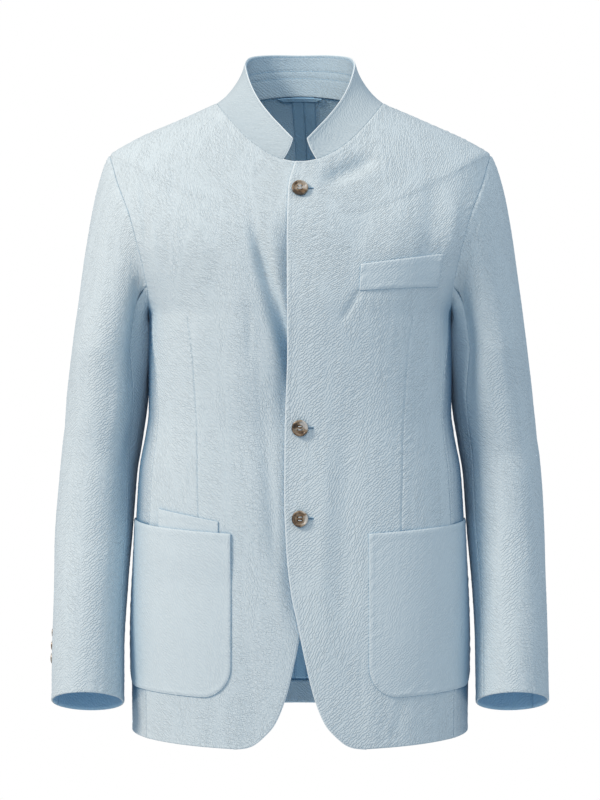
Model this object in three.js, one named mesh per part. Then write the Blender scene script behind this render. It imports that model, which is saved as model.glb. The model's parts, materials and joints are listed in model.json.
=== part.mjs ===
// Mao jacket in light seersucker: a band-collared jacket filled out as worn, in millimetres.
// +Z is up, the fronts face -Y, and +X is the wearer's left. The origin is the middle of the
// neck, level with the collar seam at the shoulders. Every piece of cloth is a closed wall over
// a smooth surface: the body is a stack of rings, the sleeves are tubes, the collar is a band.

import * as THREE from "three";

// Driving sizes

const CLOTH = 1.6;
const SEAM = 0.3;
const LAPPED_CLOTH = 1.2;
const POCKET_CLEARANCE = 0.6;
const DEGREE = Math.PI / 180;

// Rings of the body. rise is the distance up the side from the hem; the other columns are the
// heights at centre front, side and centre back, the half width, the depth of each of the three
// and how square the ring is (2 is an ellipse).
const BODY_RINGS = table(
  ["rise", "zFront", "zSide", "zBack", "width", "yFront", "ySide", "yBack", "square"],
  [
    [0, -760, -753, -740, 200.5, -121, 0, 114, 2.3],
    [110, -648, -642, -634, 201.5, -121, 0, 114, 2.3],
    [218, -539, -534, -528, 197.5, -118, 0, 107, 2.3],
    [308, -448, -444, -440, 192, -116, 0, 99, 2.3],
    [352, -403, -400, -397, 184.5, -116, 0, 97, 2.3],
    [379, -375, -373, -370, 181.5, -117.5, 0, 98, 2.3],
    [440, -314, -312, -308, 181.5, -124, 1, 108, 2.3],
    [490, -266, -262, -256, 181.5, -130, 2, 116, 2.3],
    [517, -245, -235, -226, 192, -131.5, 3, 119, 2.3],
    [552, -222, -200, -190, 212, -131, 4, 121, 2.3],
    [592, -200, -160, -150, 228, -129.5, 5, 121, 2.3],
    [632, -178, -120, -112, 233, -127, 5, 118, 2.15],
    [662, -162, -90, -86, 231.5, -124.5, 5, 113, 1.95],
    [683, -150, -67, -66, 228, -122, 5, 109, 1.8],
    [700, -141, -55, -50, 211.5, -119, 4, 105, 1.8],
    [727, -128, -41.5, -31, 185, -113.5, 3, 97, 1.85],
    [765, -110, -26, -8, 148, -105, 1, 85, 1.95],
    [820, -85, -5, 16, 100, -92, 0, 68, 2],
  ],
);
const NECK_RISE = 820;
const SHOULDER_RISE = 683;
const ARMHOLE_CORNER_RISE = 504;

// Armhole, once round from the shoulder point: angle from centre front in degrees, and rise.
const ARMHOLE = [
  { angle: 90, rise: 683 },
  { angle: 77.6, rise: 673.4 },
  { angle: 68.5, rise: 658 },
  { angle: 57.5, rise: 630 },
  { angle: 53, rise: 590 },
  { angle: 56, rise: 550 },
  { angle: 64, rise: 517 },
  { angle: 70.5, rise: 504 },
  { angle: 80.5, rise: 493 },
  { angle: 90, rise: 490 },
  { angle: 99.5, rise: 493 },
  { angle: 109.5, rise: 504 },
  { angle: 115, rise: 517 },
  { angle: 121.5, rise: 552 },
  { angle: 123.5, rise: 592 },
  { angle: 119.5, rise: 632 },
  { angle: 108.5, rise: 661 },
  { angle: 101, rise: 674 },
];

// Seams on either side of the side panel: angle from centre front at each rise.
const SIDE_SEAMS = [
  { rise: 0, front: 59.5, back: 119 },
  { rise: 300, front: 60.5, back: 117 },
  { rise: 420, front: 64, back: 113 },
  { rise: 486, front: 70.5, back: 109.5 },
  { rise: 504, front: 70.5, back: 109.5 },
];

// Front edge of the left front: how far it stands past centre front at each height. The right
// front has the same cut turned over.
const FRONT_EDGE = [
  { z: -760, x: 76 },
  { z: -758.5, x: 64 },
  { z: -756, x: 56 },
  { z: -749, x: 46 },
  { z: -730, x: 29 },
  { z: -701, x: 17 },
  { z: -655, x: 5.7 },
  { z: -616, x: -2.3 },
  { z: -585, x: -9 },
  { z: -540, x: -14.5 },
  { z: -470, x: -17.5 },
  { z: -400, x: -17 },
  { z: -300, x: -14 },
  { z: -180, x: -14.5 },
  { z: -118, x: -13 },
  { z: -105, x: -11 },
  { z: -85, x: -5 },
];

// The left front stands off the right one as far as fullTo, and is back on the body at goneAt.
const LAP = { lift: 2.3, fullTo: 20, goneAt: 70 };

// Largest folds of the body: a soft trough (negative depth) or ridge along a line between two
// places seen from the front or the back.
const BODY_FOLDS = [
  { panel: "right", x1: -50, z1: -165, x2: -19, z2: -300, width: 10, depth: -4.5 },
  { panel: "right", x1: -42, z1: -345, x2: -30, z2: -560, width: 11, depth: -3 },
  { panel: "right", x1: -74, z1: -200, x2: -66, z2: -380, width: 17, depth: 1.8 },
  { panel: "left", x1: 160, z1: -90, x2: 146, z2: -215, width: 14, depth: -3 },
  { panel: "left", x1: 52, z1: -390, x2: 47, z2: -640, width: 15, depth: -2 },
  { panel: "back", x1: -64, z1: -150, x2: -78, z2: -430, width: 22, depth: -3 },
  { panel: "back", x1: 70, z1: -170, x2: 82, z2: -400, width: 20, depth: -2.5 },
];

// Sections of the sleeve under the arm and below: middle, half width, half depth and how far the
// section is tilted up at the front, in degrees.
const SLEEVE_RINGS = [
  { step: 0, x: 228, y: 8, z: -300, halfWidth: 45.3, halfDepth: 70, tilt: 0 },
  { step: 1, x: 232.1, y: 16, z: -360, halfWidth: 48.8, halfDepth: 66, tilt: 3 },
  { step: 2, x: 238.8, y: 18, z: -412, halfWidth: 48.2, halfDepth: 62, tilt: 8 },
  { step: 3, x: 243.3, y: 13, z: -450, halfWidth: 46.7, halfDepth: 59, tilt: 12 },
  { step: 4, x: 246.9, y: 3, z: -516, halfWidth: 46.3, halfDepth: 56, tilt: 16 },
  { step: 5, x: 249.5, y: -12, z: -580, halfWidth: 43.9, halfDepth: 53, tilt: 19 },
  { step: 6, x: 251.2, y: -27, z: -650, halfWidth: 42.8, halfDepth: 50, tilt: 20 },
  { step: 7, x: 250.8, y: -38, z: -716, halfWidth: 42.6, halfDepth: 49, tilt: 21 },
];
const SLEEVE_HEAD_POWER = 1.7;
const SLEEVE_HEAD_MIDDLE = -165;
const SLEEVE_STAND_OFF = 0.5;
const SLEEVE_START_GAP = { underArm: 0.8, moreAtShoulder: 0.6 };

// Sleeve seams round the arm: 0 degrees is outermost, 90 is the front, 180 lies by the body.
const SLEEVE_SEAMS = [
  { place: 0, frontLeft: 130, backLeft: 283, frontRight: 130, backRight: 283 },
  { place: 1, frontLeft: 134, backLeft: 286, frontRight: 134, backRight: 286 },
  { place: 4, frontLeft: 145, backLeft: 300, frontRight: 147, backRight: 306 },
  { place: 8, frontLeft: 148, backLeft: 312, frontRight: 157, backRight: 336 },
];

// Largest folds of a sleeve: place counts 0 to 1 over the sleeve head and on by sections.
const SLEEVE_FOLDS = [
  { side: -1, place: 0.7, length: 1.6, angle: 134, spread: 12, depth: -4 },
  { side: -1, place: 3, length: 1.1, angle: 144, spread: 11, depth: -3.5 },
  { side: -1, place: 3.9, length: 0.45, angle: 70, spread: 34, depth: -2 },
  { side: 1, place: 0.8, length: 1.5, angle: 130, spread: 12, depth: -4 },
  { side: 1, place: 3.1, length: 1, angle: 146, spread: 11, depth: -3 },
  { side: 1, place: 3.7, length: 0.4, angle: 80, spread: 30, depth: -2 },
  { side: 1, place: 4.4, length: 0.4, angle: 250, spread: 30, depth: -2 },
  { side: -1, place: 4.3, length: 0.4, angle: 245, spread: 30, depth: -2 },
];

// Top edge of the collar on the wearer's left, from the front corner to centre back.
const COLLAR_TOP = [
  { x: 9, y: -86, z: -57 },
  { x: 21, y: -77, z: -43.5 },
  { x: 35, y: -64, z: -27 },
  { x: 49.5, y: -47, z: -6 },
  { x: 59, y: -30, z: 14 },
  { x: 65.5, y: -9, z: 36 },
  { x: 66, y: 17, z: 48.5 },
  { x: 59, y: 43, z: 58.5 },
  { x: 36, y: 62, z: 63.8 },
  { x: 0, y: 70, z: 64.8 },
];
const COLLAR_MIDDLE = new THREE.Vector3(0, -10, 10);
const COLLAR_START_X = 20;
const COLLAR_IN_POWER = 1.35;
const COLLAR_UP_POWER = 1.1;
const COLLAR_CLOTH = 1.2;
const FACING_CLOTH = 1;

// Patch pockets: where the front side stands, how wide it is round the body, and its height.
const PATCH = { frontX: 79, breadth: 176, bottom: 56, frontTop: 243, sideTop: 251, corner: 36 };
const TICKET_CORNERS = {
  upperFront: { x: 93.7, z: -499.5 },
  upperSide: { x: 164.5, z: -486.5 },
  lowerSide: { x: 164.5, z: -521 },
  lowerFront: { x: 93.7, z: -531 },
};
const PATCH_OVER_TICKET = { lift: 2, fullAt: 4, rampUp: 41, rampAside: 22 };
const WELT_CORNERS = {
  upperFront: { x: 69, z: -206 },
  upperSide: { x: 165, z: -192 },
  lowerSide: { x: 158.5, z: -229 },
  lowerFront: { x: 67.5, z: -235.5 },
};

// The centre back seam stands a little to the wearer's left of the middle.
const CENTRE_BACK = 177.8;
const HEM_TURN_UP = 30;
const INSIDE_CLEARANCE = 0.9;
const ALLOWANCE_WIDTH = 14;
const ALLOWANCE_CLOTH = 0.9;
const LOOP = { upperHalf: 29, lowerHalf: 20, top: 817, depth: 10, cloth: 1 };

// How finely each piece is divided across its width and up its height.
const COLUMNS = { front: 14, back: 10, side: 8, topSleeve: 10, underSleeve: 7, collar: 32, patch: 12 };
const ROWS = { lower: 8, armhole: 6, shoulder: 4, patch: 7 };
const HEM_RISES = [0, 7, 20, 42, 72, 110];
const SLEEVE_HEAD_SHARES = [0, 0.06, 0.16, 0.3, 0.48, 0.72, 1];
const SLEEVE_PLACES = [1.5, 2, 2.5, 3, 3.4, 3.8, 4.3, 4.9, 5.6, 6.4, 7.2, 8];
const CORNER_ANGLES = [0, 25, 50, 70, 90];
const COLLAR_UPS = [0.012, 0.1, 0.25, 0.5, 0.75, 1];
const CURVE_SAMPLES = { halfArmhole: 120, neckLine: 48 };

const BUTTON_CLEARANCE = 0.6;
const FRONT_BUTTON = { radius: 9.5, thick: 3.6, heights: [-118, -392, -495.5] };
const CUFF_BUTTON = { radius: 7, thick: 2.8, fromSeam: 13.5, places: [7.19, 6.97, 6.75] };

// Small helpers

// Rows of numbers under a row of column names, as one object for each row.
function table(names, rows) {
  return rows.map((row) => Object.fromEntries(row.map((value, i) => [names[i], value])));
}

// A smooth curve without overshoot through one column of a table (monotone cubic).
function smoothColumn(rows, along, name) {
  const ordered = [...rows].sort((p, q) => p[along] - q[along]);
  const xs = ordered.map((row) => row[along]);
  const ys = ordered.map((row) => row[name]);
  const slopes = xs.slice(1).map((x, i) => (ys[i + 1] - ys[i]) / (x - xs[i]));
  const tangents = xs.map((x, i) => {
    if (i === 0) return slopes[0];
    if (i === xs.length - 1) return slopes[i - 1];
    const product = slopes[i - 1] * slopes[i];
    return product > 0 ? (2 * product) / (slopes[i - 1] + slopes[i]) : 0;
  });
  return (x) => {
    const clamped = Math.min(Math.max(x, xs[0]), xs[xs.length - 1]);
    let i = 0;
    while (i < xs.length - 2 && clamped > xs[i + 1]) i += 1;
    const span = xs[i + 1] - xs[i];
    const t = (clamped - xs[i]) / span;
    const lower = (1 + 2 * t) * (1 - t) ** 2 * ys[i] + t * (1 - t) ** 2 * span * tangents[i];
    const upper = t * t * (3 - 2 * t) * ys[i + 1] + t * t * (t - 1) * span * tangents[i + 1];
    return lower + upper;
  };
}

function smoothTable(rows, along) {
  const names = Object.keys(rows[0]).filter((name) => name !== along);
  const columns = names.map((name) => [name, smoothColumn(rows, along, name)]);
  return (x) => Object.fromEntries(columns.map(([name, curve]) => [name, curve(x)]));
}

function smoothStep(from, to, x) {
  const t = Math.min(Math.max((x - from) / (to - from), 0), 1);
  return t * t * (3 - 2 * t);
}

function mix(from, to, t) {
  return from + (to - from) * t;
}

// Evenly spaced numbers from the first to the last, with the given number of gaps.
function steps(first, last, gaps) {
  return Array.from({ length: gaps + 1 }, (_, i) => mix(first, last, i / gaps));
}

// Where a falling or rising function reaches a target, by halving the range.
function solve(low, high, target, valueAt) {
  const rising = valueAt(high) > valueAt(low);
  let [from, to] = [low, high];
  for (let i = 0; i < 40; i += 1) {
    const middle = (from + to) / 2;
    if (valueAt(middle) < target === rising) from = middle;
    else to = middle;
  }
  return (from + to) / 2;
}

// Body surface

const bodyRing = smoothTable(BODY_RINGS, "rise");

// A ring is a rounded square in plan, and its height runs from the side to the centre as the
// square of the cosine. Angle 0 is centre front, 90 the left side, 180 centre back.
function plainBody(angle, rise) {
  const ring = bodyRing(rise);
  const across = Math.sin(angle * DEGREE);
  const along = Math.cos(angle * DEGREE);
  const round = (Math.abs(across) ** ring.square + Math.abs(along) ** ring.square) ** (-1 / ring.square);
  const yEnd = along > 0 ? ring.yFront : ring.yBack;
  const zEnd = along > 0 ? ring.zFront : ring.zBack;
  return new THREE.Vector3(
    ring.width * round * across,
    ring.ySide + (yEnd - ring.ySide) * round * Math.abs(along),
    ring.zSide + (zEnd - ring.zSide) * along * along,
  );
}

// How far the folds of one panel push a point out of the plain surface.
function bodyFold(point, panel) {
  let push = 0;
  for (const fold of BODY_FOLDS) {
    if (fold.panel !== panel) continue;
    const run = new THREE.Vector2(fold.x2 - fold.x1, fold.z2 - fold.z1);
    const from = new THREE.Vector2(point.x - fold.x1, point.z - fold.z1);
    const share = from.dot(run) / run.lengthSq();
    const aside = from.cross(run) / run.length();
    const fade = smoothStep(-0.15, 0.3, share) * (1 - smoothStep(0.7, 1.15, share));
    push += fold.depth * fade * Math.exp(-((aside / fold.width) ** 2));
  }
  return push;
}

function surfaceNormal(surface, u, v, du, dv) {
  const alongU = surface(u + du, v).sub(surface(u - du, v));
  const alongV = surface(u, v + dv).sub(surface(u, v - dv));
  return alongU.cross(alongV).normalize();
}

// The cloth's outer surface with the folds of one panel.
function foldedBody(angle, rise, panel) {
  const point = plainBody(angle, rise);
  const push = bodyFold(point, panel);
  return point.addScaledVector(surfaceNormal(plainBody, angle, rise, 0.2, 0.5), push);
}

function body(angle, rise) {
  const front = Math.cos(angle * DEGREE) > 0;
  const side = Math.sin(angle * DEGREE) > 0 ? "left" : "right";
  return foldedBody(angle, rise, front ? side : "back");
}

function rightFront(angle, rise) {
  return foldedBody(angle, rise, "right");
}

// The left front lies over the right one, and comes back down to the body beside the lap.
function leftFront(angle, rise) {
  const point = foldedBody(angle, rise, "left");
  point.y -= LAP.lift * (1 - smoothStep(LAP.fullTo, LAP.goneAt, point.x));
  return point;
}

// Angle of the point on a ring that stands at x.
function angleAtX(x, rise) {
  return solve(-60, 89, x, (angle) => plainBody(angle, rise).x);
}

// Angle and rise of the place on the front that is seen at x and z.
function placeOnFront(x, z) {
  let rise = z - bodyRing(0).zSide;
  let angle = 0;
  for (let i = 0; i < 12; i += 1) {
    angle = angleAtX(x, rise);
    rise += z - plainBody(angle, rise).z;
  }
  return { angle, rise };
}

// Angle reached after a distance round a ring.
function angleAfter(start, distance, rise) {
  const step = Math.sign(distance) * 0.5;
  let angle = start;
  let left = Math.abs(distance);
  for (;;) {
    const length = plainBody(angle + step, rise).distanceTo(plainBody(angle, rise));
    if (length > left) return angle + (step * left) / length;
    left -= length;
    angle += step;
  }
}

// Degrees that half a seam takes on a ring.
function seamAngle(angle, rise) {
  const degreeLength = plainBody(angle + 0.5, rise).distanceTo(plainBody(angle - 0.5, rise));
  return SEAM / 2 / degreeLength;
}

// Armhole

const armhole = new THREE.CatmullRomCurve3(
  ARMHOLE.map((row) => new THREE.Vector3(row.angle, row.rise, 0)),
  true,
  "centripetal",
);

function armholePlace(t) {
  const place = armhole.getPoint(((t % 1) + 1) % 1);
  return { angle: place.x, rise: place.y };
}

const isCorner = (row) => row.rise === ARMHOLE_CORNER_RISE;
const FRONT_CORNER = ARMHOLE.findIndex(isCorner) / ARMHOLE.length;
const BACK_CORNER = ARMHOLE.findLastIndex(isCorner) / ARMHOLE.length;

const sideSeam = smoothTable(SIDE_SEAMS, "rise");

// Walls

// A closed wall over a grid of surface places: an outer face, an inner face and the four edges
// between them. outset moves the outer face off the surface.
function clothWall(grid, surface, normal, outset, thickness) {
  const rows = grid.length;
  const columns = grid[0].length;
  const positions = [];
  for (const depth of [outset, outset - thickness]) {
    for (const row of grid) {
      for (const [u, v] of row) {
        const point = surface(u, v).addScaledVector(normal(u, v), depth);
        positions.push(point.x, point.y, point.z);
      }
    }
  }
  const outer = (j, i) => j * columns + i;
  const inner = (j, i) => rows * columns + outer(j, i);
  const faces = [];
  const quad = (a, b, c, d) => faces.push(a, b, c, a, c, d);
  for (let j = 0; j < rows - 1; j += 1) {
    for (let i = 0; i < columns - 1; i += 1) {
      quad(outer(j, i), outer(j, i + 1), outer(j + 1, i + 1), outer(j + 1, i));
      quad(inner(j, i), inner(j + 1, i), inner(j + 1, i + 1), inner(j, i + 1));
    }
  }
  for (let i = 0; i < columns - 1; i += 1) {
    quad(outer(0, i), inner(0, i), inner(0, i + 1), outer(0, i + 1));
    quad(outer(rows - 1, i + 1), inner(rows - 1, i + 1), inner(rows - 1, i), outer(rows - 1, i));
  }
  const last = columns - 1;
  for (let j = 0; j < rows - 1; j += 1) {
    quad(outer(j + 1, 0), inner(j + 1, 0), inner(j, 0), outer(j, 0));
    quad(outer(j, last), inner(j, last), inner(j + 1, last), outer(j + 1, last));
  }
  const geometry = new THREE.BufferGeometry();
  geometry.setAttribute("position", new THREE.Float32BufferAttribute(positions, 3));
  geometry.setIndex(facedOut(positions, faces));
  return geometry;
}

// Turns the faces round if the volume that they enclose comes out negative.
function facedOut(positions, faces) {
  const corner = (index) => new THREE.Vector3().fromArray(positions, index * 3);
  let volume = 0;
  for (let i = 0; i < faces.length; i += 3) {
    volume += corner(faces[i]).dot(corner(faces[i + 1]).cross(corner(faces[i + 2])));
  }
  if (volume > 0) return faces;
  return faces.map((_, i) => faces[i - (i % 3) + [0, 2, 1][i % 3]]);
}

// Normals pointing away from a line inside the form.
function outwardNormal(surface, axis, du, dv) {
  return (u, v) => {
    const normal = surfaceNormal(surface, u, v, du, dv);
    const away = surface(u, v).sub(axis(u, v));
    return normal.dot(away) < 0 ? normal.negate() : normal;
  };
}

const bodyMiddle = (angle, rise) => new THREE.Vector3(0, 0, bodyRing(rise).zSide);
const bodyNormal = outwardNormal(body, bodyMiddle, 0.3, 1);
const leftFrontNormal = outwardNormal(leftFront, bodyMiddle, 0.3, 1);
const rightFrontNormal = outwardNormal(rightFront, bodyMiddle, 0.3, 1);

// Fronts

const frontEdge = smoothColumn(FRONT_EDGE, "z", "x");

// Rows from the hem to the corner of the armhole, the same on every panel so that seams match.
const LOWER_ROWS = [
  ...HEM_RISES,
  ...steps(HEM_RISES.at(-1), ARMHOLE_CORNER_RISE, ROWS.lower).slice(1),
];

// Rows of one half of the body, each with the rise and the angle of its outer end.
function panelRows(seamName, cornerT, shoulderT, seamSign) {
  const rows = LOWER_ROWS.map((rise) => {
    const seam = sideSeam(rise)[seamName];
    return { rise, end: seam + seamSign * seamAngle(seam, rise) };
  });
  for (const t of steps(cornerT, shoulderT, ROWS.armhole).slice(1)) {
    const place = armholePlace(t);
    rows.push({ rise: place.rise, end: place.angle });
  }
  rows.at(-1).end += seamSign * seamAngle(90, SHOULDER_RISE);
  for (const rise of steps(SHOULDER_RISE, NECK_RISE, ROWS.shoulder).slice(1)) {
    rows.push({ rise, end: 90 + seamSign * seamAngle(90, rise) });
  }
  return rows;
}

const FRONT_ROWS = panelRows("front", FRONT_CORNER, 0, -1);
const BACK_ROWS = panelRows("back", BACK_CORNER, 1, 1);

function frontGrid(side) {
  return FRONT_ROWS.map(({ rise, end }) => {
    const start = angleAtX(frontEdge(bodyRing(rise).zFront), rise);
    return steps(start, end, COLUMNS.front).map((angle) => [side * angle, rise]);
  });
}

function frontLeft() {
  return clothWall(frontGrid(1), leftFront, leftFrontNormal, 0, CLOTH);
}

function frontRight() {
  return clothWall(frontGrid(-1), rightFront, rightFrontNormal, 0, CLOTH);
}

// Backs and what is sewn inside them

// Angles across one back from its side seam to the centre back seam.
function backColumns(side, rise, end) {
  const centre = side > 0 ? CENTRE_BACK : 360 - CENTRE_BACK;
  return steps(end, centre - seamAngle(180, rise), COLUMNS.back).map((angle) => side * angle);
}

function back(side) {
  const grid = BACK_ROWS.map(({ rise, end }) => backColumns(side, rise, end).map((angle) => [angle, rise]));
  return clothWall(grid, body, bodyNormal, 0, CLOTH);
}

// The hem turned up inside both backs, on the same columns as they have.
function hemBack() {
  const grid = [1, HEM_TURN_UP / 2, HEM_TURN_UP].map((rise) => {
    const end = sideSeam(rise).back + 1;
    const left = backColumns(1, rise, end).slice(0, -1);
    const right = backColumns(-1, rise, end).slice(0, -1).map((angle) => 360 + angle);
    return [...left, CENTRE_BACK, ...right.reverse()].map((angle) => [angle, rise]);
  });
  return clothWall(grid, body, bodyNormal, -CLOTH - SEAM, LAPPED_CLOTH);
}

function seamAllowance(side) {
  const rows = BACK_ROWS.map((row) => row.rise).filter((rise) => rise > HEM_TURN_UP + 5);
  const grid = [HEM_TURN_UP + 2, ...rows.slice(0, -1), NECK_RISE - 2].map((rise) => {
    const inner = CENTRE_BACK - side * seamAngle(180, rise);
    const outer = angleAfter(CENTRE_BACK, -side * ALLOWANCE_WIDTH, rise);
    return steps(inner, outer, 2).map((angle) => [angle, rise]);
  });
  return clothWall(grid, body, bodyNormal, -CLOTH - INSIDE_CLEARANCE, ALLOWANCE_CLOTH);
}

function hangerLoop() {
  const grid = [0, 0.5, 1].map((share) => {
    const rise = LOOP.top - LOOP.depth * share;
    const half = mix(LOOP.upperHalf, LOOP.lowerHalf, share);
    const reach = 180 - angleAfter(180, -half, rise);
    return steps(180 - reach, 180 + reach, 10).map((angle) => [angle, rise]);
  });
  const inset = CLOTH + INSIDE_CLEARANCE + ALLOWANCE_CLOTH + SEAM;
  return clothWall(grid, body, bodyNormal, -inset, LOOP.cloth);
}

// Side panels

function armholeRiseAt(angle) {
  const t = solve(FRONT_CORNER, BACK_CORNER, angle, (place) => armholePlace(place).angle);
  return armholePlace(t).rise;
}

function sidePanel(side) {
  const corner = sideSeam(ARMHOLE_CORNER_RISE);
  const shares = steps(0, 1, COLUMNS.side);
  const tops = shares.map((share) => armholeRiseAt(mix(corner.front, corner.back, share)));
  const grid = LOWER_ROWS.map((height) =>
    shares.map((share, i) => {
      const rise = (tops[i] * height) / ARMHOLE_CORNER_RISE;
      const seam = sideSeam(rise);
      const trim = seamAngle(90, rise);
      return [side * mix(seam.front + trim, seam.back - trim, share), rise];
    }),
  );
  return clothWall(grid, body, bodyNormal, 0, CLOTH);
}

// Sleeves

const sleeveRing = smoothTable(SLEEVE_RINGS, "step");
const sleeveSeam = smoothTable(SLEEVE_SEAMS, "place");

// Distances along each half of the armhole, so that the sleeve head is shared out evenly.
function armholeHalf(from, to) {
  const ts = steps(from, to, CURVE_SAMPLES.halfArmhole);
  const points = ts.map((t) => {
    const place = armholePlace(t);
    return plainBody(place.angle, place.rise);
  });
  const lengths = [0];
  for (let i = 1; i < points.length; i += 1) {
    lengths.push(lengths[i - 1] + points[i].distanceTo(points[i - 1]));
  }
  const rows = lengths.map((length, i) => ({ share: length / lengths.at(-1), t: ts[i] }));
  return smoothColumn(rows, "share", "t");
}

const frontHalf = armholeHalf(0, 0.5);
const backHalf = armholeHalf(1, 0.5);

// The point just outside the left armhole that faces an angle round the arm.
function armholePoint(angle) {
  const turn = ((angle % 360) + 360) % 360;
  const t = turn <= 180 ? frontHalf(turn / 180) : backHalf((360 - turn) / 180);
  const place = armholePlace(t);
  const point = plainBody(place.angle, place.rise);
  const outward = outwardNormal(plainBody, bodyMiddle, 0.3, 1)(place.angle, place.rise);
  return point.addScaledVector(outward, SLEEVE_STAND_OFF);
}

function sleeveSection(angle, step) {
  const ring = sleeveRing(step);
  const forward = ring.halfDepth * Math.sin(angle * DEGREE);
  return new THREE.Vector3(
    ring.x + ring.halfWidth * Math.cos(angle * DEGREE),
    ring.y - forward * Math.cos(ring.tilt * DEGREE),
    ring.z + forward * Math.sin(ring.tilt * DEGREE),
  );
}

// The left sleeve without folds. Place runs 0 to 1 over the sleeve head, from the armhole to
// the first section, moving evenly outward while it falls ever faster, and then on by sections.
function plainSleeve(angle, place) {
  if (place >= 1) return sleeveSection(angle, place - 1);
  const from = armholePoint(angle);
  const to = sleeveSection(angle, 0);
  return new THREE.Vector3(
    mix(from.x, to.x, place),
    mix(from.y, to.y, place),
    mix(from.z, to.z, place ** SLEEVE_HEAD_POWER),
  );
}

function sleeveMiddle(place) {
  const ring = sleeveRing(Math.max(place - 1, 0));
  return new THREE.Vector3(ring.x, ring.y, place < 1 ? mix(SLEEVE_HEAD_MIDDLE, ring.z, place) : ring.z);
}

function sleeveSurface(side) {
  const folds = SLEEVE_FOLDS.filter((fold) => fold.side === side);
  const middle = (angle, place) => sleeveMiddle(place);
  const plainNormal = outwardNormal(plainSleeve, middle, 0.4, 0.01);
  return (angle, place) => {
    const point = plainSleeve(angle, place);
    let push = 0;
    for (const fold of folds) {
      const aside = ((angle - fold.angle + 540) % 360) - 180;
      const far = (place - fold.place) / fold.length;
      push += fold.depth * Math.exp(-((aside / fold.spread) ** 2) - far ** 2);
    }
    point.addScaledVector(plainNormal(angle, place), push);
    point.x *= side;
    return point;
  };
}

// The sleeve starts a little way out from the armhole, most at the shoulder where it turns.
function sleeveStart(angle) {
  const towardsShoulder = Math.cos((angle * DEGREE) / 2) ** 2;
  const gap = SLEEVE_START_GAP.underArm + SLEEVE_START_GAP.moreAtShoulder * towardsShoulder;
  const from = armholePoint(angle);
  return solve(0, 0.5, gap, (place) => plainSleeve(angle, place).distanceTo(from));
}

// Where one sleeve's seams lie at a place along it.
function seamsOf(side, place) {
  const seams = sleeveSeam(place);
  return side > 0 ? [seams.frontLeft, seams.backLeft] : [seams.frontRight, seams.backRight];
}

function sleevePiece(side, columns, spanAt) {
  const surface = sleeveSurface(side);
  const middle = (angle, place) => sleeveMiddle(place).multiply(new THREE.Vector3(side, 1, 1));
  const rowAt = (place) => {
    const [from, to] = spanAt(...seamsOf(side, place));
    const along = Math.max(place, 0.1);
    const degreeLength = plainSleeve(from + 0.5, along).distanceTo(plainSleeve(from - 0.5, along));
    const trim = SEAM / 2 / degreeLength;
    return steps(from + trim, to - trim, columns);
  };
  const head = SLEEVE_HEAD_SHARES.map((share) =>
    rowAt(share).map((angle) => [angle, mix(sleeveStart(angle), 1, share)]),
  );
  const arm = SLEEVE_PLACES.map((place) => rowAt(place).map((angle) => [angle, place]));
  return clothWall([...head, ...arm], surface, outwardNormal(surface, middle, 0.4, 0.01), 0, CLOTH);
}

function topSleeve(side) {
  return sleevePiece(side, COLUMNS.topSleeve, (front, rear) => [rear - 360, front]);
}

function underSleeve(side) {
  return sleevePiece(side, COLUMNS.underSleeve, (front, rear) => [front, rear]);
}

// Collar

const collarTop = new THREE.CatmullRomCurve3(
  [
    ...COLLAR_TOP.map((row) => new THREE.Vector3(row.x, row.y, row.z)),
    ...COLLAR_TOP.slice(0, -1)
      .reverse()
      .map((row) => new THREE.Vector3(-row.x, row.y, row.z)),
  ],
  false,
  "centripetal",
);

const COLLAR_START = angleAtX(COLLAR_START_X, NECK_RISE);
const neckAngles = steps(COLLAR_START, 360 - COLLAR_START, CURVE_SAMPLES.neckLine);
const neckLine = new THREE.CatmullRomCurve3(
  neckAngles.map((angle) => plainBody(angle, NECK_RISE)),
  false,
  "centripetal",
);

// Round the collar from its left front end to its right one, and up from seam to top edge: it
// comes in fast near the seam and rises late, which gives the hollow flare.
function collarSurface(around, up) {
  const seam = neckLine.getPointAt(Math.min(Math.max(around, 0), 1));
  const edge = collarTop.getPointAt(Math.min(Math.max(around, 0), 1));
  const inward = 1 - (1 - Math.min(up, 1)) ** COLLAR_IN_POWER;
  const upward = Math.max(up, 0) ** COLLAR_UP_POWER;
  return new THREE.Vector3(
    mix(seam.x, edge.x, inward),
    mix(seam.y, edge.y, inward),
    mix(seam.z, edge.z, upward),
  );
}

// A normal taken inside the band, so that its ends and edges have one too.
function collarNormal(around, up) {
  const u = Math.min(Math.max(around, 0.004), 0.996);
  const v = Math.min(Math.max(up, 0.06), 0.96);
  return outwardNormal(collarSurface, () => COLLAR_MIDDLE, 0.003, 0.03)(u, v);
}

function collarWall(outset, thickness) {
  const grid = COLLAR_UPS.map((up) => steps(0, 1, COLUMNS.collar).map((around) => [around, up]));
  return clothWall(grid, collarSurface, collarNormal, outset, thickness);
}

// Pockets

// The patch pocket on the body: rows run round the body from the front side, drawn in at the
// lower corners by the corner's arc, and rise more and more towards the side.
function patchGrid(side) {
  const { bottom, corner, breadth } = PATCH;
  const cornerRows = CORNER_ANGLES.map((angle) => bottom + corner * (1 - Math.cos(angle * DEGREE)));
  const straightRows = steps(bottom + corner, PATCH.frontTop, ROWS.patch).slice(1);
  return [...cornerRows, ...straightRows].map((rise) => {
    const below = Math.max(corner - (rise - bottom), 0);
    const drawIn = corner - Math.sqrt(corner * corner - below * below);
    const front = angleAtX(PATCH.frontX, rise);
    const start = angleAfter(front, drawIn + 0.01, rise);
    const end = angleAfter(front, breadth - drawIn, rise);
    const lift = ((PATCH.sideTop - PATCH.frontTop) * (rise - bottom)) / (PATCH.frontTop - bottom);
    return steps(0, 1, COLUMNS.patch).map((share) => [side * mix(start, end, share), rise + lift * share]);
  });
}

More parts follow.
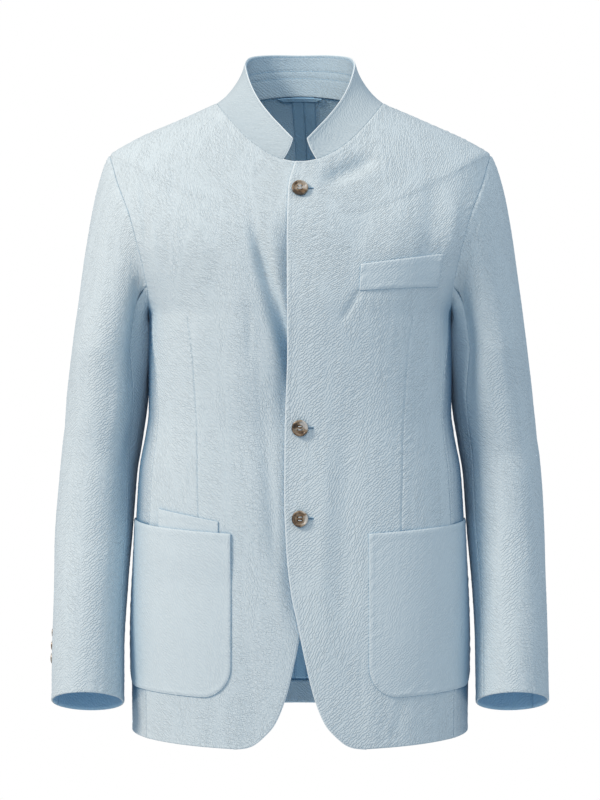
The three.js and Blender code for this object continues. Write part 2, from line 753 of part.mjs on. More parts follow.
// A strip between four corners seen from the front, as a grid of places on the front.
function stripGrid(corners, side, columns, rows) {
  return steps(0, 1, rows).map((height) =>
    steps(0, 1, columns).map((along) => {
      const edge = (front, end, name) => mix(front[name], end[name], along);
      const at = (name) =>
        mix(
          edge(corners.lowerFront, corners.lowerSide, name),
          edge(corners.upperFront, corners.upperSide, name),
          height,
        );
      const place = placeOnFront(at("x"), at("z"));
      return [side * place.angle, place.rise];
    }),
  );
}

// The right patch pocket lies over the small pocket, so it stands off the body there.
function rightPatchSurface(angle, rise) {
  const point = body(angle, rise);
  const { lowerFront, lowerSide } = TICKET_CORNERS;
  const over = PATCH_OVER_TICKET;
  const above = smoothStep(lowerFront.z - over.fullAt - over.rampUp, lowerFront.z - over.fullAt, point.z);
  const edge = lowerSide.x + over.fullAt;
  const beside = 1 - smoothStep(edge, edge + over.rampAside, Math.abs(point.x));
  return point.addScaledVector(bodyNormal(angle, rise), over.lift * above * beside);
}

function patchPocket(side) {
  const surface = side < 0 ? rightPatchSurface : body;
  return clothWall(patchGrid(side), surface, bodyNormal, POCKET_CLEARANCE + LAPPED_CLOTH, LAPPED_CLOTH);
}

function ticketPocket() {
  const grid = stripGrid(TICKET_CORNERS, -1, 6, 2);
  return clothWall(grid, body, bodyNormal, POCKET_CLEARANCE + LAPPED_CLOTH, LAPPED_CLOTH);
}

function chestWelt() {
  const grid = stripGrid(WELT_CORNERS, 1, 7, 3);
  return clothWall(grid, leftFront, leftFrontNormal, POCKET_CLEARANCE + LAPPED_CLOTH, LAPPED_CLOTH);
}

// Buttons

// A turned button lying on the origin, with a raised rim round a shallow dish.
function buttonShape({ radius, thick }, segments) {
  const profile = [
    [0, 0],
    [radius * 0.72, 0],
    [radius * 0.97, thick * 0.32],
    [radius, thick * 0.62],
    [radius * 0.93, thick * 0.96],
    [radius * 0.78, thick],
    [radius * 0.62, thick * 0.74],
    [0, thick * 0.66],
  ];
  const points = profile.map(([across, up]) => new THREE.Vector2(across, up));
  const geometry = new THREE.LatheGeometry(points, segments);
  return geometry.rotateX(Math.PI / 2);
}

// A button set on a surface with its back towards the cloth.
function buttonOn(name, size, segments, point, normal, material) {
  const mesh = new THREE.Mesh(buttonShape(size, segments), material);
  mesh.name = name;
  mesh.quaternion.setFromUnitVectors(new THREE.Vector3(0, 0, 1), normal);
  mesh.position.copy(point).addScaledVector(normal, BUTTON_CLEARANCE);
  return mesh;
}

// Materials

function finish(color, roughness) {
  return new THREE.MeshStandardMaterial({ color, roughness, metalness: 0 });
}

const CLOTH_COLOUR = 0xc2d3dc;
const INSIDE_COLOUR = 0x9db4c3;
const TAPE_COLOUR = 0x8fa8b8;
const HORN_COLOUR = 0x8c7d6c;

const jacket = new THREE.Group();

function addCloth(name, geometry, colour) {
  const mesh = new THREE.Mesh(geometry, finish(colour, 0.9));
  mesh.name = name;
  jacket.add(mesh);
}

addCloth("front_left", frontLeft(), CLOTH_COLOUR);
addCloth("front_right", frontRight(), CLOTH_COLOUR);
for (const [label, side] of [["left", 1], ["right", -1]]) {
  addCloth(`side_${label}`, sidePanel(side), CLOTH_COLOUR);
  addCloth(`back_${label}`, back(side), CLOTH_COLOUR);
  addCloth(`seam_allowance_${label}`, seamAllowance(side), TAPE_COLOUR);
  addCloth(`top_sleeve_${label}`, topSleeve(side), CLOTH_COLOUR);
  addCloth(`under_sleeve_${label}`, underSleeve(side), CLOTH_COLOUR);
  addCloth(`patch_pocket_${label}`, patchPocket(side), CLOTH_COLOUR);
}
addCloth("hem_back", hemBack(), INSIDE_COLOUR);
addCloth("hanger_loop", hangerLoop(), TAPE_COLOUR);
addCloth("collar", collarWall(0, COLLAR_CLOTH), CLOTH_COLOUR);
addCloth("collar_facing", collarWall(-COLLAR_CLOTH - SEAM, FACING_CLOTH), INSIDE_COLOUR);
addCloth("ticket_pocket_right", ticketPocket(), CLOTH_COLOUR);
addCloth("chest_welt_left", chestWelt(), CLOTH_COLOUR);

FRONT_BUTTON.heights.forEach((z, i) => {
  const place = placeOnFront(0, z);
  const point = leftFront(place.angle, place.rise);
  const normal = leftFrontNormal(place.angle, place.rise);
  jacket.add(buttonOn(`front_button_${i + 1}`, FRONT_BUTTON, 16, point, normal, finish(HORN_COLOUR, 0.35)));
});

for (const [label, side] of [["left", 1], ["right", -1]]) {
  const surface = sleeveSurface(side);
  const middle = (angle, place) => sleeveMiddle(place).multiply(new THREE.Vector3(side, 1, 1));
  const normalAt = outwardNormal(surface, middle, 0.4, 0.01);
  CUFF_BUTTON.places.forEach((place, i) => {
    const angle = seamsOf(side, place)[1] - 360 + CUFF_BUTTON.fromSeam;
    const point = surface(angle, place);
    const name = `cuff_button_${label}_${i + 1}`;
    jacket.add(buttonOn(name, CUFF_BUTTON, 12, point, normalAt(angle, place), finish(HORN_COLOUR, 0.35)));
  });
}

export default jacket;
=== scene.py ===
# %% [markdown]
# # A mao jacket in light blue seersucker
# The jacket is filled out as worn, with nobody in it. A tailor cuts it from flat cloth: two
# fronts, two side panels, two backs, four sleeve pieces, a band collar, patch pockets and a
# welt. Each of them is made here as one thin, closed shell on the form that its solid has, and
# the crinkle, the creases, the seams and the stitches are added to it in cloth coordinates.

# %% The fixed frame
import math

import bpy
import numpy as np
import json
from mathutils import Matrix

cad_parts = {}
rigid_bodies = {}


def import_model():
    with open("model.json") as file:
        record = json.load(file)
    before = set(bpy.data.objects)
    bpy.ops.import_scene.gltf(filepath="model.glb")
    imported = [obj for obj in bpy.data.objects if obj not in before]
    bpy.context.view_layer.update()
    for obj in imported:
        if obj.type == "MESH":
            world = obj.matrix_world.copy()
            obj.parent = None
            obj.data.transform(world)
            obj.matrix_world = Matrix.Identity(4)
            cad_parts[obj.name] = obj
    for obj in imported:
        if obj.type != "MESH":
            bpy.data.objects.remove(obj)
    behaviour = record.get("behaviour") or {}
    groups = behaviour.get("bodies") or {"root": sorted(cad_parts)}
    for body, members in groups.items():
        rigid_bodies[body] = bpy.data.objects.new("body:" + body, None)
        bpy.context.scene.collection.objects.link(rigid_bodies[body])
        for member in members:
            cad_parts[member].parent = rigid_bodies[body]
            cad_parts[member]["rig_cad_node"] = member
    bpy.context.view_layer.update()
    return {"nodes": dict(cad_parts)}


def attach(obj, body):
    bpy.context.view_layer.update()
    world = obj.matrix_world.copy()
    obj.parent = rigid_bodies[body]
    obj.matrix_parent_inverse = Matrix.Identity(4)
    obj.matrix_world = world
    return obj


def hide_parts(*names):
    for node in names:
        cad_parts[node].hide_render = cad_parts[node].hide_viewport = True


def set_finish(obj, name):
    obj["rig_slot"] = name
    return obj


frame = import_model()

print("solids in the frame:", len(frame["nodes"]))

# %% [markdown]
# ## Camera, light and floor
# The photograph looks straight at the chest from a few steps away, so a long lens 2.4 m in
# front of the jacket gives its frame. A lamp at the upper left models the relief of the cloth.
# A weak one at the upper right and one over the camera soften it, and a cool, even surround
# fills the shadows, which is why they look bluer than the lit side. The floor lies where a
# wearer would stand, below what the camera sees.

# %% Camera
CAMERA_PLACE = (0.0, -2.4, -0.36)
LENS_MM, SENSOR_MM = 90, 36

camera = bpy.data.objects.new("camera", bpy.data.cameras.new("camera"))
camera.data.lens = LENS_MM
camera.data.sensor_fit = "VERTICAL"
camera.data.sensor_height = SENSOR_MM
camera.location = CAMERA_PLACE
camera.rotation_euler = (math.radians(90), 0, 0)
bpy.context.scene.collection.objects.link(camera)
bpy.context.scene.camera = camera
bpy.context.scene.view_settings.view_transform = "Standard"
print("camera sees a height of", abs(CAMERA_PLACE[1]) * SENSOR_MM / LENS_MM, "m")

# %% Lamps
LIT_POINT = (0.0, 0.0, -0.38)


def area_lamp(name, place, size, watts, colour):
    """A square lamp that faces the middle of the jacket."""
    lamp = bpy.data.objects.new(name, bpy.data.lights.new(name, "AREA"))
    lamp.data.size = size
    lamp.data.energy = watts
    lamp.data.color = colour
    lamp.location = place
    towards = [to - at for to, at in zip(LIT_POINT, place)]
    across = math.hypot(towards[0], towards[1])
    lamp.rotation_euler = (math.atan2(across, -towards[2]), 0, math.atan2(-towards[0], towards[1]))
    bpy.context.scene.collection.objects.link(lamp)
    return lamp


area_lamp("key_lamp", (-2.8, -1.75, 1.8), 0.9, 128, (1.0, 0.82, 0.67))
area_lamp("fill_lamp", (1.2, -0.7, 2.1), 1.4, 18.5, (1.0, 0.90, 0.80))
area_lamp("front_lamp", (0.2, -3.2, 1.0), 1.2, 21, (1.0, 0.86, 0.74))

# %% Surround
SURROUND_COLOUR = (0.60, 0.80, 1.0, 1)
SURROUND_STRENGTH = 0.50

world = bpy.data.worlds.new("surround")
bpy.context.scene.world = world
world.use_nodes = True
w_nodes, w_links = world.node_tree.nodes, world.node_tree.links
w_nodes.clear()
backdrop = w_nodes.new("ShaderNodeBackground")
backdrop.inputs["Color"].default_value = (1, 1, 1, 1)
fill = w_nodes.new("ShaderNodeBackground")
fill.inputs["Color"].default_value = SURROUND_COLOUR
fill.inputs["Strength"].default_value = SURROUND_STRENGTH
seen = w_nodes.new("ShaderNodeLightPath")
choose = w_nodes.new("ShaderNodeMixShader")
w_out = w_nodes.new("ShaderNodeOutputWorld")
w_links.new(seen.outputs["Is Camera Ray"], choose.inputs[0])
w_links.new(fill.outputs[0], choose.inputs[1])
w_links.new(backdrop.outputs[0], choose.inputs[2])
w_links.new(choose.outputs[0], w_out.inputs["Surface"])
print("surround strength", SURROUND_STRENGTH)

# %% [markdown]
# ## Small tools
# Sizes are in millimetres, as on a pattern, and become metres when a mesh is written. The
# tables have a few rows of named columns, and a smooth curve runs through each column, so a
# whole surface follows from about twenty rows of numbers.

# %% Tables and smooth columns
MM = 0.001


def table(names, rows):
    """One array for each named column."""
    return dict(zip(names.split(), np.array(rows, float).T))


def smooth_column(xs, ys):
    """Cubic through all points. Its slope at a point is the harmonic mean of the slopes beside
    it, or level at a turning point, so it never overshoots."""
    slopes = np.diff(ys) / np.diff(xs)
    product, total = slopes[:-1] * slopes[1:], slopes[:-1] + slopes[1:]
    inner = np.where(product > 0, 2 * product / np.where(product > 0, total, 1), 0)
    tangents = np.concatenate([slopes[:1], inner, slopes[-1:]])

    def value(x):
        x = np.clip(x, xs[0], xs[-1])
        i = np.clip(np.searchsorted(xs, x) - 1, 0, len(xs) - 2)
        span = xs[i + 1] - xs[i]
        t = (x - xs[i]) / span
        lower = (1 + 2 * t) * (1 - t) ** 2 * ys[i] + t * (1 - t) ** 2 * span * tangents[i]
        upper = t * t * (3 - 2 * t) * ys[i + 1] + t * t * (t - 1) * span * tangents[i + 1]
        return lower + upper

    return value


def smooth_table(columns, along):
    """A smooth curve for every column but the one that they run along."""
    order = np.argsort(columns[along])
    xs = columns[along][order]
    return {name: smooth_column(xs, ys[order]) for name, ys in columns.items() if name != along}


def smooth_step(low, high, x):
    """0 below low, 1 above high, and a smooth S between them."""
    t = np.clip((x - low) / (high - low), 0, 1)
    return t * t * (3 - 2 * t)


def mix(a, b, t):
    """a at 0, b at 1, and evenly between them."""
    return a + (b - a) * t


def through(points, closed=False):
    """Centripetal curve through points: each span is a cubic whose end slopes come from the
    neighbouring points, weighted by the roots of the distances. Shares 0 to 1 run along it."""
    points = np.array(points, float)
    if closed:
        padded = np.vstack([points[-1:], points, points[:2]])
    else:
        padded = np.vstack([2 * points[:1] - points[1:2], points, 2 * points[-1:] - points[-2:-1]])
    spans = len(padded) - 3

    def at(share):
        place = np.asarray(share, float) * spans
        k = np.clip(np.floor(place).astype(int), 0, spans - 1)
        w = (place - k)[..., None]
        p0, p1, p2, p3 = (padded[k + i] for i in range(4))
        d0, d1, d2 = (np.linalg.norm(b - a, axis=-1, keepdims=True) ** 0.5
                      for a, b in ((p0, p1), (p1, p2), (p2, p3)))
        m1 = ((p1 - p0) / d0 - (p2 - p0) / (d0 + d1) + (p2 - p1) / d1) * d1
        m2 = ((p2 - p1) / d1 - (p3 - p1) / (d1 + d2) + (p3 - p2) / d2) * d1
        return p1 + m1 * w + (3 * (p2 - p1) - 2 * m1 - m2) * w**2 + (2 * (p1 - p2) + m1 + m2) * w**3

    return at


def run_lengths(points):
    """Distance along each row of points from its first one."""
    steps = np.linalg.norm(np.diff(points, axis=-2), axis=-1)
    return np.concatenate([np.zeros_like(steps[..., :1]), np.cumsum(steps, axis=-1)], axis=-1)


def evened(curve, samples=600):
    """The same curve with shares counted by its length, and that length."""
    shares = np.linspace(0, 1, samples)
    lengths = run_lengths(curve(shares))
    return lambda share: curve(np.interp(share, lengths / lengths[-1], shares)), lengths[-1]


print("smooth step at the middle:", smooth_step(0, 1, 0.5))

# %% [markdown]
# ## The form of the body
# The body is a stack of rings from hem to neck. Each ring is a rounded square in plan, and its
# height may differ at the front, side and back. A place on it is an angle from centre front
# and a rise up the side, so every panel is a range of angles and rises on the same form.

# %% Rings of the body
BODY_RINGS = table("rise z_front z_side z_back width y_front y_side y_back square", [
    (0, -760, -753, -740, 200.5, -121, 0, 114, 2.3),
    (110, -648, -642, -634, 201.5, -121, 0, 114, 2.3),
    (218, -539, -534, -528, 197.5, -118, 0, 107, 2.3),
    (308, -448, -444, -440, 192, -116, 0, 99, 2.3),
    (352, -403, -400, -397, 184.5, -116, 0, 97, 2.3),
    (379, -375, -373, -370, 181.5, -117.5, 0, 98, 2.3),
    (440, -314, -312, -308, 181.5, -124, 1, 108, 2.3),
    (490, -266, -262, -256, 181.5, -130, 2, 116, 2.3),
    (517, -245, -235, -226, 192, -131.5, 3, 119, 2.3),
    (552, -222, -200, -190, 212, -131, 4, 121, 2.3),
    (592, -200, -160, -150, 228, -129.5, 5, 121, 2.3),
    (632, -178, -120, -112, 233, -127, 5, 118, 2.15),
    (662, -162, -90, -86, 231.5, -124.5, 5, 113, 1.95),
    (683, -150, -67, -66, 228, -122, 5, 109, 1.8),
    (700, -141, -55, -50, 211.5, -119, 4, 105, 1.8),
    (727, -128, -41.5, -31, 185, -113.5, 3, 97, 1.85),
    (765, -110, -26, -8, 148, -105, 1, 85, 1.95),
    (820, -85, -5, 16, 100, -92, 0, 68, 2),
])
NECK_RISE, SHOULDER_RISE, CORNER_RISE = 820, 683, 504
CENTRE_BACK = 177.8
RING = smooth_table(BODY_RINGS, "rise")


def plain_body(angle, rise):
    """Place on the body. In plan the ring is |x/width|^n + |y/depth|^n = 1, and its height
    runs from the side's to the front's or back's as the square of the cosine."""
    ring = {name: curve(rise) for name, curve in RING.items()}
    across, along = np.sin(np.radians(angle)), np.cos(np.radians(angle))
    n = ring["square"]
    reach = (np.abs(across) ** n + np.abs(along) ** n) ** (-1 / n)
    y_end = np.where(along > 0, ring["y_front"], ring["y_back"])
    z_end = np.where(along > 0, ring["z_front"], ring["z_back"])
    x = ring["width"] * reach * across
    y = ring["y_side"] + (y_end - ring["y_side"]) * reach * np.abs(along)
    z = ring["z_side"] + (z_end - ring["z_side"]) * along**2
    return np.stack(np.broadcast_arrays(x, y, z), axis=-1)


def angle_at_x(x, rise):
    """Angle of the ring's point that stands at x: the plan formula solved for the tangent."""
    n = RING["square"](rise)
    q = np.abs(x / RING["width"](rise)) ** n
    return np.degrees(np.arctan((q / (1 - q)) ** (1 / n))) * np.sign(x)


def place_on_front(x, z):
    """Angle and rise of the place on the front that is seen at x and z."""
    rise = z - RING["z_side"](0.0)
    for _ in range(14):
        angle = angle_at_x(x, rise)
        rise = rise + z - plain_body(angle, rise)[..., 2]
    return angle, rise


chest_line = plain_body(np.linspace(0, 180, 200), 592.0)
print("half a chest round:", round(float(run_lengths(chest_line)[-1])), "mm")

# %% Armhole and front edge
ARMHOLE = through([
    (90, 683), (77.6, 673.4), (68.5, 658), (57.5, 630), (53, 590), (56, 550), (64, 517),
    (70.5, 504), (80.5, 493), (90, 490), (99.5, 493), (109.5, 504), (115, 517), (121.5, 552),
    (123.5, 592), (119.5, 632), (108.5, 661), (101, 674),
], closed=True)
FRONT_CORNER, BACK_CORNER = 7 / 18, 11 / 18
SIDE_SEAMS = smooth_table(table("rise front back", [
    (0, 59.5, 119), (300, 60.5, 117), (420, 64, 113), (486, 70.5, 109.5), (504, 70.5, 109.5),
]), "rise")
FRONT_EDGE = table("z x", [
    (-760, 76), (-758.5, 64), (-756, 56), (-749, 46), (-730, 29), (-701, 17), (-655, 5.7),
    (-616, -2.3),
    (-585, -9), (-540, -14.5), (-470, -17.5), (-400, -17), (-300, -14), (-180, -14.5),
    (-118, -13), (-105, -11), (-85, -5),
])
front_edge = smooth_column(FRONT_EDGE["z"], FRONT_EDGE["x"])
armhole_shares = np.linspace(0, 1, 1201)
armhole_places = ARMHOLE(armhole_shares)


def armhole_between(low, high, wanted, given, at):
    """One coordinate of the armhole (0 angle, 1 rise) where the other has the values at."""
    part = armhole_places[(armhole_shares >= low) & (armhole_shares <= high)]
    part = part[np.argsort(part[:, given])]
    return np.interp(at, part[:, given], part[:, wanted])


def outer_end(rise, front):
    """Angle of a front's or a back's outer end: side seam, then armhole, then shoulder seam."""
    seam = SIDE_SEAMS["front" if front else "back"](rise)
    low, high = (0, FRONT_CORNER) if front else (BACK_CORNER, 1)
    arm = armhole_between(low, high, 0, 1, rise)
    return np.where(rise < CORNER_RISE, seam, np.where(rise < SHOULDER_RISE, arm, 90.0))


print("armhole length", round(float(run_lengths(plain_body(*armhole_places.T))[-1])), "mm")

# %% [markdown]
# ## Folds and creases
# Worn cloth hangs in a few soft troughs and ridges, and creases where it is pulled: from the
# collar corner to the first button, into the waist, at the armholes. Each one is a line between
# two places, seen from the front or the back, with a width and a depth of its own. Listing them
# one by one keeps them as uneven as real ones.

# %% Lines of the folds
LINE = "x1 z1 x2 z2 width depth"
MAIN_FOLDS = {
    "right": table(LINE, [
        (-50, -165, -19, -300, 10, -4.5), (-42, -345, -30, -560, 11, -3),
        (-74, -200, -66, -380, 17, 1.8),
    ]),
    "left": table(LINE, [(160, -90, 146, -215, 14, -3), (52, -390, 47, -640, 15, -2)]),
    "back": table(LINE, [(-64, -150, -78, -430, 22, -3), (70, -170, 82, -400, 20, -2.5)]),
}
CREASES = {
    "right": table(LINE, [
        (-54, -160, -8, -345, 6.5, -6), (-31, -226, -9, -322, 3.2, -3.6),
        (-58, -255, -57, -315, 3.5, -0.9), (-26, -300, -22, -420, 9, -1.2),
        (-36, -420, -28, -560, 6, -1.1), (-48, -560, -20, -640, 7, -0.8),
        (-184, -106, -177, -182, 5, -2.4), (-146, -92, -147, -130, 3.5, -0.8),
        (-181, -120, -160, -235, 6, 0.9), (-120, -130, -108, -250, 9, 0.7),
        (-95, -690, -70, -750, 9, 0.9),
        (-140, -700, -128, -752, 8, -0.8), (-60, -640, -52, -745, 10, -0.9),
    ]),
    "left": table(LINE, [
        (70, -232, 46, -272, 4.0, -1.6), (27, -109, 88, -78, 10.5, -7.5),
        (182, -120, 168, -240, 8, 1.4), (120, -120, 104, -205, 12, 0.9),
        (92, -110, 60, -190, 12, -0.8), (30, -430, 24, -600, 9, 0.8),
        (120, -700, 108, -752, 8, -0.9),
        (80, -690, 84, -755, 9, 0.9), (40, -250, 26, -380, 14, -0.7),
        (150, -690, 158, -748, 8, 0.8),
    ]),
    "back": table(LINE, [
        (-150, -120, -120, -260, 12, -1.6), (150, -110, 128, -240, 11, -1.4),
        (-30, -400, -120, -430, 12, -1.1),
        (34, -395, 118, -440, 11, -1.2), (-120, -560, -130, -735, 14, 1.2),
        (96, -520, 110, -735, 15, 1.3),
        (-40, -480, -46, -735, 14, -1.2), (40, -130, 90, -150, 8, -0.8),
        (-38, -126, -92, -150, 8, -0.9),
    ]),
}


def line_push(lines, x, z):
    """Sum of soft troughs and ridges: depth times a bell curve across each line, faded in and
    out along it."""
    push = np.zeros(np.broadcast(x, z).shape)
    for x1, z1, x2, z2, width, depth in zip(*lines.values()):
        run_x, run_z = x2 - x1, z2 - z1
        length = math.hypot(run_x, run_z)
        share = ((x - x1) * run_x + (z - z1) * run_z) / length**2
        aside = ((x - x1) * run_z - (z - z1) * run_x) / length
        fade = smooth_step(-0.15, 0.3, share) * (1 - smooth_step(0.7, 1.15, share))
        push += depth * fade * np.exp(-((aside / width) ** 2))
    return push


def body_push(points, panel):
    """All folds and creases of one panel at its points."""
    x, z = points[..., 0], points[..., 2]
    return line_push(MAIN_FOLDS[panel], x, z) + line_push(CREASES[panel], x, z)


fold_count = sum(len(lines["x1"]) for part in (MAIN_FOLDS, CREASES) for lines in part.values())
print("folds and creases:", fold_count)

# %% [markdown]
# ## The crinkle of the cloth
# Seersucker is woven with some threads slack, so it puckers into short ridges a few millimetres
# apart. They lean, and the lean changes from one stretch of cloth to the next. Such a field of
# ridges is made by keeping only a narrow range of waves out of random noise: the Fourier
# transform of the noise is multiplied by a bell round the wanted wave, and turned back.

# %% Random ridges
TILE_SIZE, TILE_STEP = 1024, 0.75
wave_x, wave_y = np.meshgrid(*[np.fft.fftfreq(TILE_SIZE, TILE_STEP)] * 2)


def noise_tile(seed, weight):
    """White noise times a weight on its waves, scaled to a spread of 1."""
    noise = np.random.default_rng(seed).standard_normal((TILE_SIZE, TILE_SIZE))
    tile = np.fft.ifft2(np.fft.fft2(noise) * weight).real
    return tile / tile.std()


def ridges(seed, apart, lean, run):
    """Ridges that lie apart mm from each other, lean by lean degrees from level and run on for
    about run mm: a bell round the wave across them, narrow along them."""
    along = (math.cos(math.radians(lean)), math.sin(math.radians(lean)))
    across = np.abs(-along[1] * wave_x + along[0] * wave_y)
    on = along[0] * wave_x + along[1] * wave_y
    bell = ((across - 1 / apart) * apart / 0.3) ** 2 + (on * run / 0.45) ** 2
    return noise_tile(seed, np.exp(-bell / 2))


def drift(seed, size):
    """Slow change over about size mm."""
    return noise_tile(seed, np.exp(-(wave_x**2 + wave_y**2) * size**2))


TILES = {
    "rising": ridges(11, 4.6, 38, 6),
    "falling": ridges(12, 4.6, -40, 6),
    "upright": ridges(13, 11, 86, 55),
    "pucker": ridges(14, 12, 28, 14),
    "level": ridges(15, 9, 4, 9),
    "bands": noise_tile(16, np.exp(-(wave_x * 70) ** 2 - (wave_y * 190) ** 2)),
    "strength": drift(17, 45),
    "sway": drift(18, 110),
}


def sample(name, u, v):
    """Value of a tile at cloth places in mm, blended from the four nearest samples."""
    tile = TILES[name]
    x, y = u / TILE_STEP, v / TILE_STEP
    i, j = np.floor(x).astype(int), np.floor(y).astype(int)
    fx, fy = x - i, y - j
    i0, i1, j0, j1 = i % TILE_SIZE, (i + 1) % TILE_SIZE, j % TILE_SIZE, (j + 1) % TILE_SIZE
    return mix(mix(tile[j0, i0], tile[j0, i1], fx), mix(tile[j1, i0], tile[j1, i1], fx), fy)


RELIEF = {"lean": 0.10, "pucker": 0.04, "upright": 0.06, "sway": 0.3}


def crinkle(u, v, amount=1.0):
    """Height of the cloth: leaning ridges, turned the other way in soft upright bands, wider
    puckers, long upright ripples and a slow sway."""
    other = smooth_step(0.1, 1.1, sample("bands", u, v))
    lean = sample("rising", u, v) * np.sqrt(1 - other) + sample("falling", u, v) * np.sqrt(other)
    strength = 0.85 + 0.3 * np.clip(sample("strength", u, v), -1.5, 1.5)
    fine = RELIEF["lean"] * lean + RELIEF["pucker"] * sample("pucker", u, v)
    fine = fine + RELIEF["upright"] * sample("upright", u, v)
    return amount * (strength * fine + RELIEF["sway"] * sample("sway", u, v))


print("tiles:", ", ".join(TILES))

# %% [markdown]
# ## Seams and edges
# A seam is a narrow groove with the soft bulk of its pressed-open edges on both sides. A turned
# edge is rounded, a little thicker as far as the cloth is turned under, and dented where it is
# stitched. Both pucker the cloth beside them. Each is a function of the distance to the line.

# %% Profiles across seams and edges
EDGE_ROUND = 0.9


def seam(d):
    """The two cloths meet at the line and swell by half a millimetre on both sides of it, over
    the edges that are pressed open underneath."""
    return 0.55 * (1 - np.exp(-((d / 0.8) ** 2))) * np.exp(-((d / 7) ** 2))


def dart(d):
    """A dart is a finer groove."""
    return -0.9 * np.exp(-((d / 0.9) ** 2)) + 0.12 * np.exp(-(((d - 3) / 2) ** 2))


def turned(d, under=8.0, stitch=None):
    """Quarter round at the edge, a swell as far as the cloth is turned under, and a dent along
    the line of stitches."""
    left = 1 - np.clip(d / EDGE_ROUND, 0, 1)
    profile = -0.6 * (1 - np.sqrt(1 - left**2)) + 0.3 * (1 - smooth_step(under - 3, under + 1, d))
    if stitch:
        profile = profile - 0.3 * np.exp(-(((d - stitch) / 0.7) ** 2))
    return profile


def pinch(tile, u, v, d, amount=0.2, reach=7.0):
    """Puckers beside a line: none on it, most just off it, and then dying away."""
    return amount * sample(tile, u, v) * np.exp(-d / reach) * (1 - np.exp(-((d / 1.2) ** 2)))


def calm(sewn, edge):
    """Share of the crinkle that is left: none at a seam, some at a turned edge, all beyond."""
    return smooth_step(0, 3, sewn) * (0.4 + 0.6 * smooth_step(0, 3, edge))


print("highest beside a seam:", round(float(seam(np.linspace(0, 9, 50)).max()), 2), "mm")

# %% [markdown]
# ## From a grid to a closed shell
# Every cloth piece is a grid of points. The outer face keeps all of them, so it can carry the
# crinkle. The inner face needs only every fourth row and column, which saves half the faces. It
# lies under the lowest outer point near it, so it never breaks through. A strip of many-sided
# faces joins the two edges, and the shell is closed.

# %% Grids with close lines near the edges
AROUND, ALONG = 2.15, 1.85
NEAR = np.array([0, 0.7, 1.5, 2.6, 4.2])
STRIDE = 4


def between(start, end, cells):
    """Distances from start to end in each row: close together near both lines, even between."""
    start, end = np.atleast_1d(start)[:, None], np.atleast_1d(end)[:, None]
    low, high = start + NEAR[-1], end - NEAR[-1]
    middle = low + (high - low) * np.linspace(0, 1, cells + 1)
    return np.hstack([start + NEAR[:-1], middle, end - NEAR[-2::-1]])


def cells_for(length, step):
    """Even steps between the close lines, in whole strides."""
    return STRIDE * max(1, math.ceil((length - 2 * NEAR[-1]) / step / STRIDE))


def grid_normals(points):
    """Unit normals of a grid: the cross product of its differences along rows and columns."""
    normals = np.cross(np.gradient(points, axis=1), np.gradient(points, axis=0))
    return normals / np.linalg.norm(normals, axis=-1, keepdims=True)


print("distances near an edge:", between(0.0, 30.0, 4).round(1).tolist()[0])

# %% Shells
PIECES = {}


def write_mesh(name, points, faces, uv):
    """A smooth-shaded mesh from points in mm and groups of faces with equal corner counts."""
    mesh = bpy.data.meshes.new(name)
    corners = np.concatenate([group.ravel() for group in faces])
    sizes = np.concatenate([np.full(len(group), group.shape[1]) for group in faces])
    mesh.vertices.add(len(points))
    mesh.vertices.foreach_set("co", (points * MM).astype(np.float32).ravel())
    mesh.loops.add(len(corners))
    mesh.loops.foreach_set("vertex_index", corners.astype(np.int32))
    mesh.polygons.add(len(sizes))
    starts = np.concatenate([[0], np.cumsum(sizes)[:-1]])
    mesh.polygons.foreach_set("loop_start", starts.astype(np.int32))
    mesh.update(calc_edges=True)
    mesh.shade_smooth()
    layer = mesh.uv_layers.new(name="cloth")
    layer.data.foreach_set("uv", (uv[corners] * MM).astype(np.float32).ravel())
    mesh.validate()
    return mesh


def loop_round(ids):
    """The border of a grid of ids, anticlockwise from its first corner, ending on it again."""
    sides = [ids[0, :-1], ids[:-1, -1], ids[-1, :0:-1], ids[:0:-1, 0], ids[:1, 0]]
    return np.concatenate(sides)


def lowest_near(heights):
    """Lowest height within a stride of every stride-th row and column."""
    padded = np.pad(heights, STRIDE, mode="edge")
    windows = np.lib.stride_tricks.sliding_window_view(padded, (2 * STRIDE + 1,) * 2)
    return windows[::STRIDE, ::STRIDE].min(axis=(-2, -1))


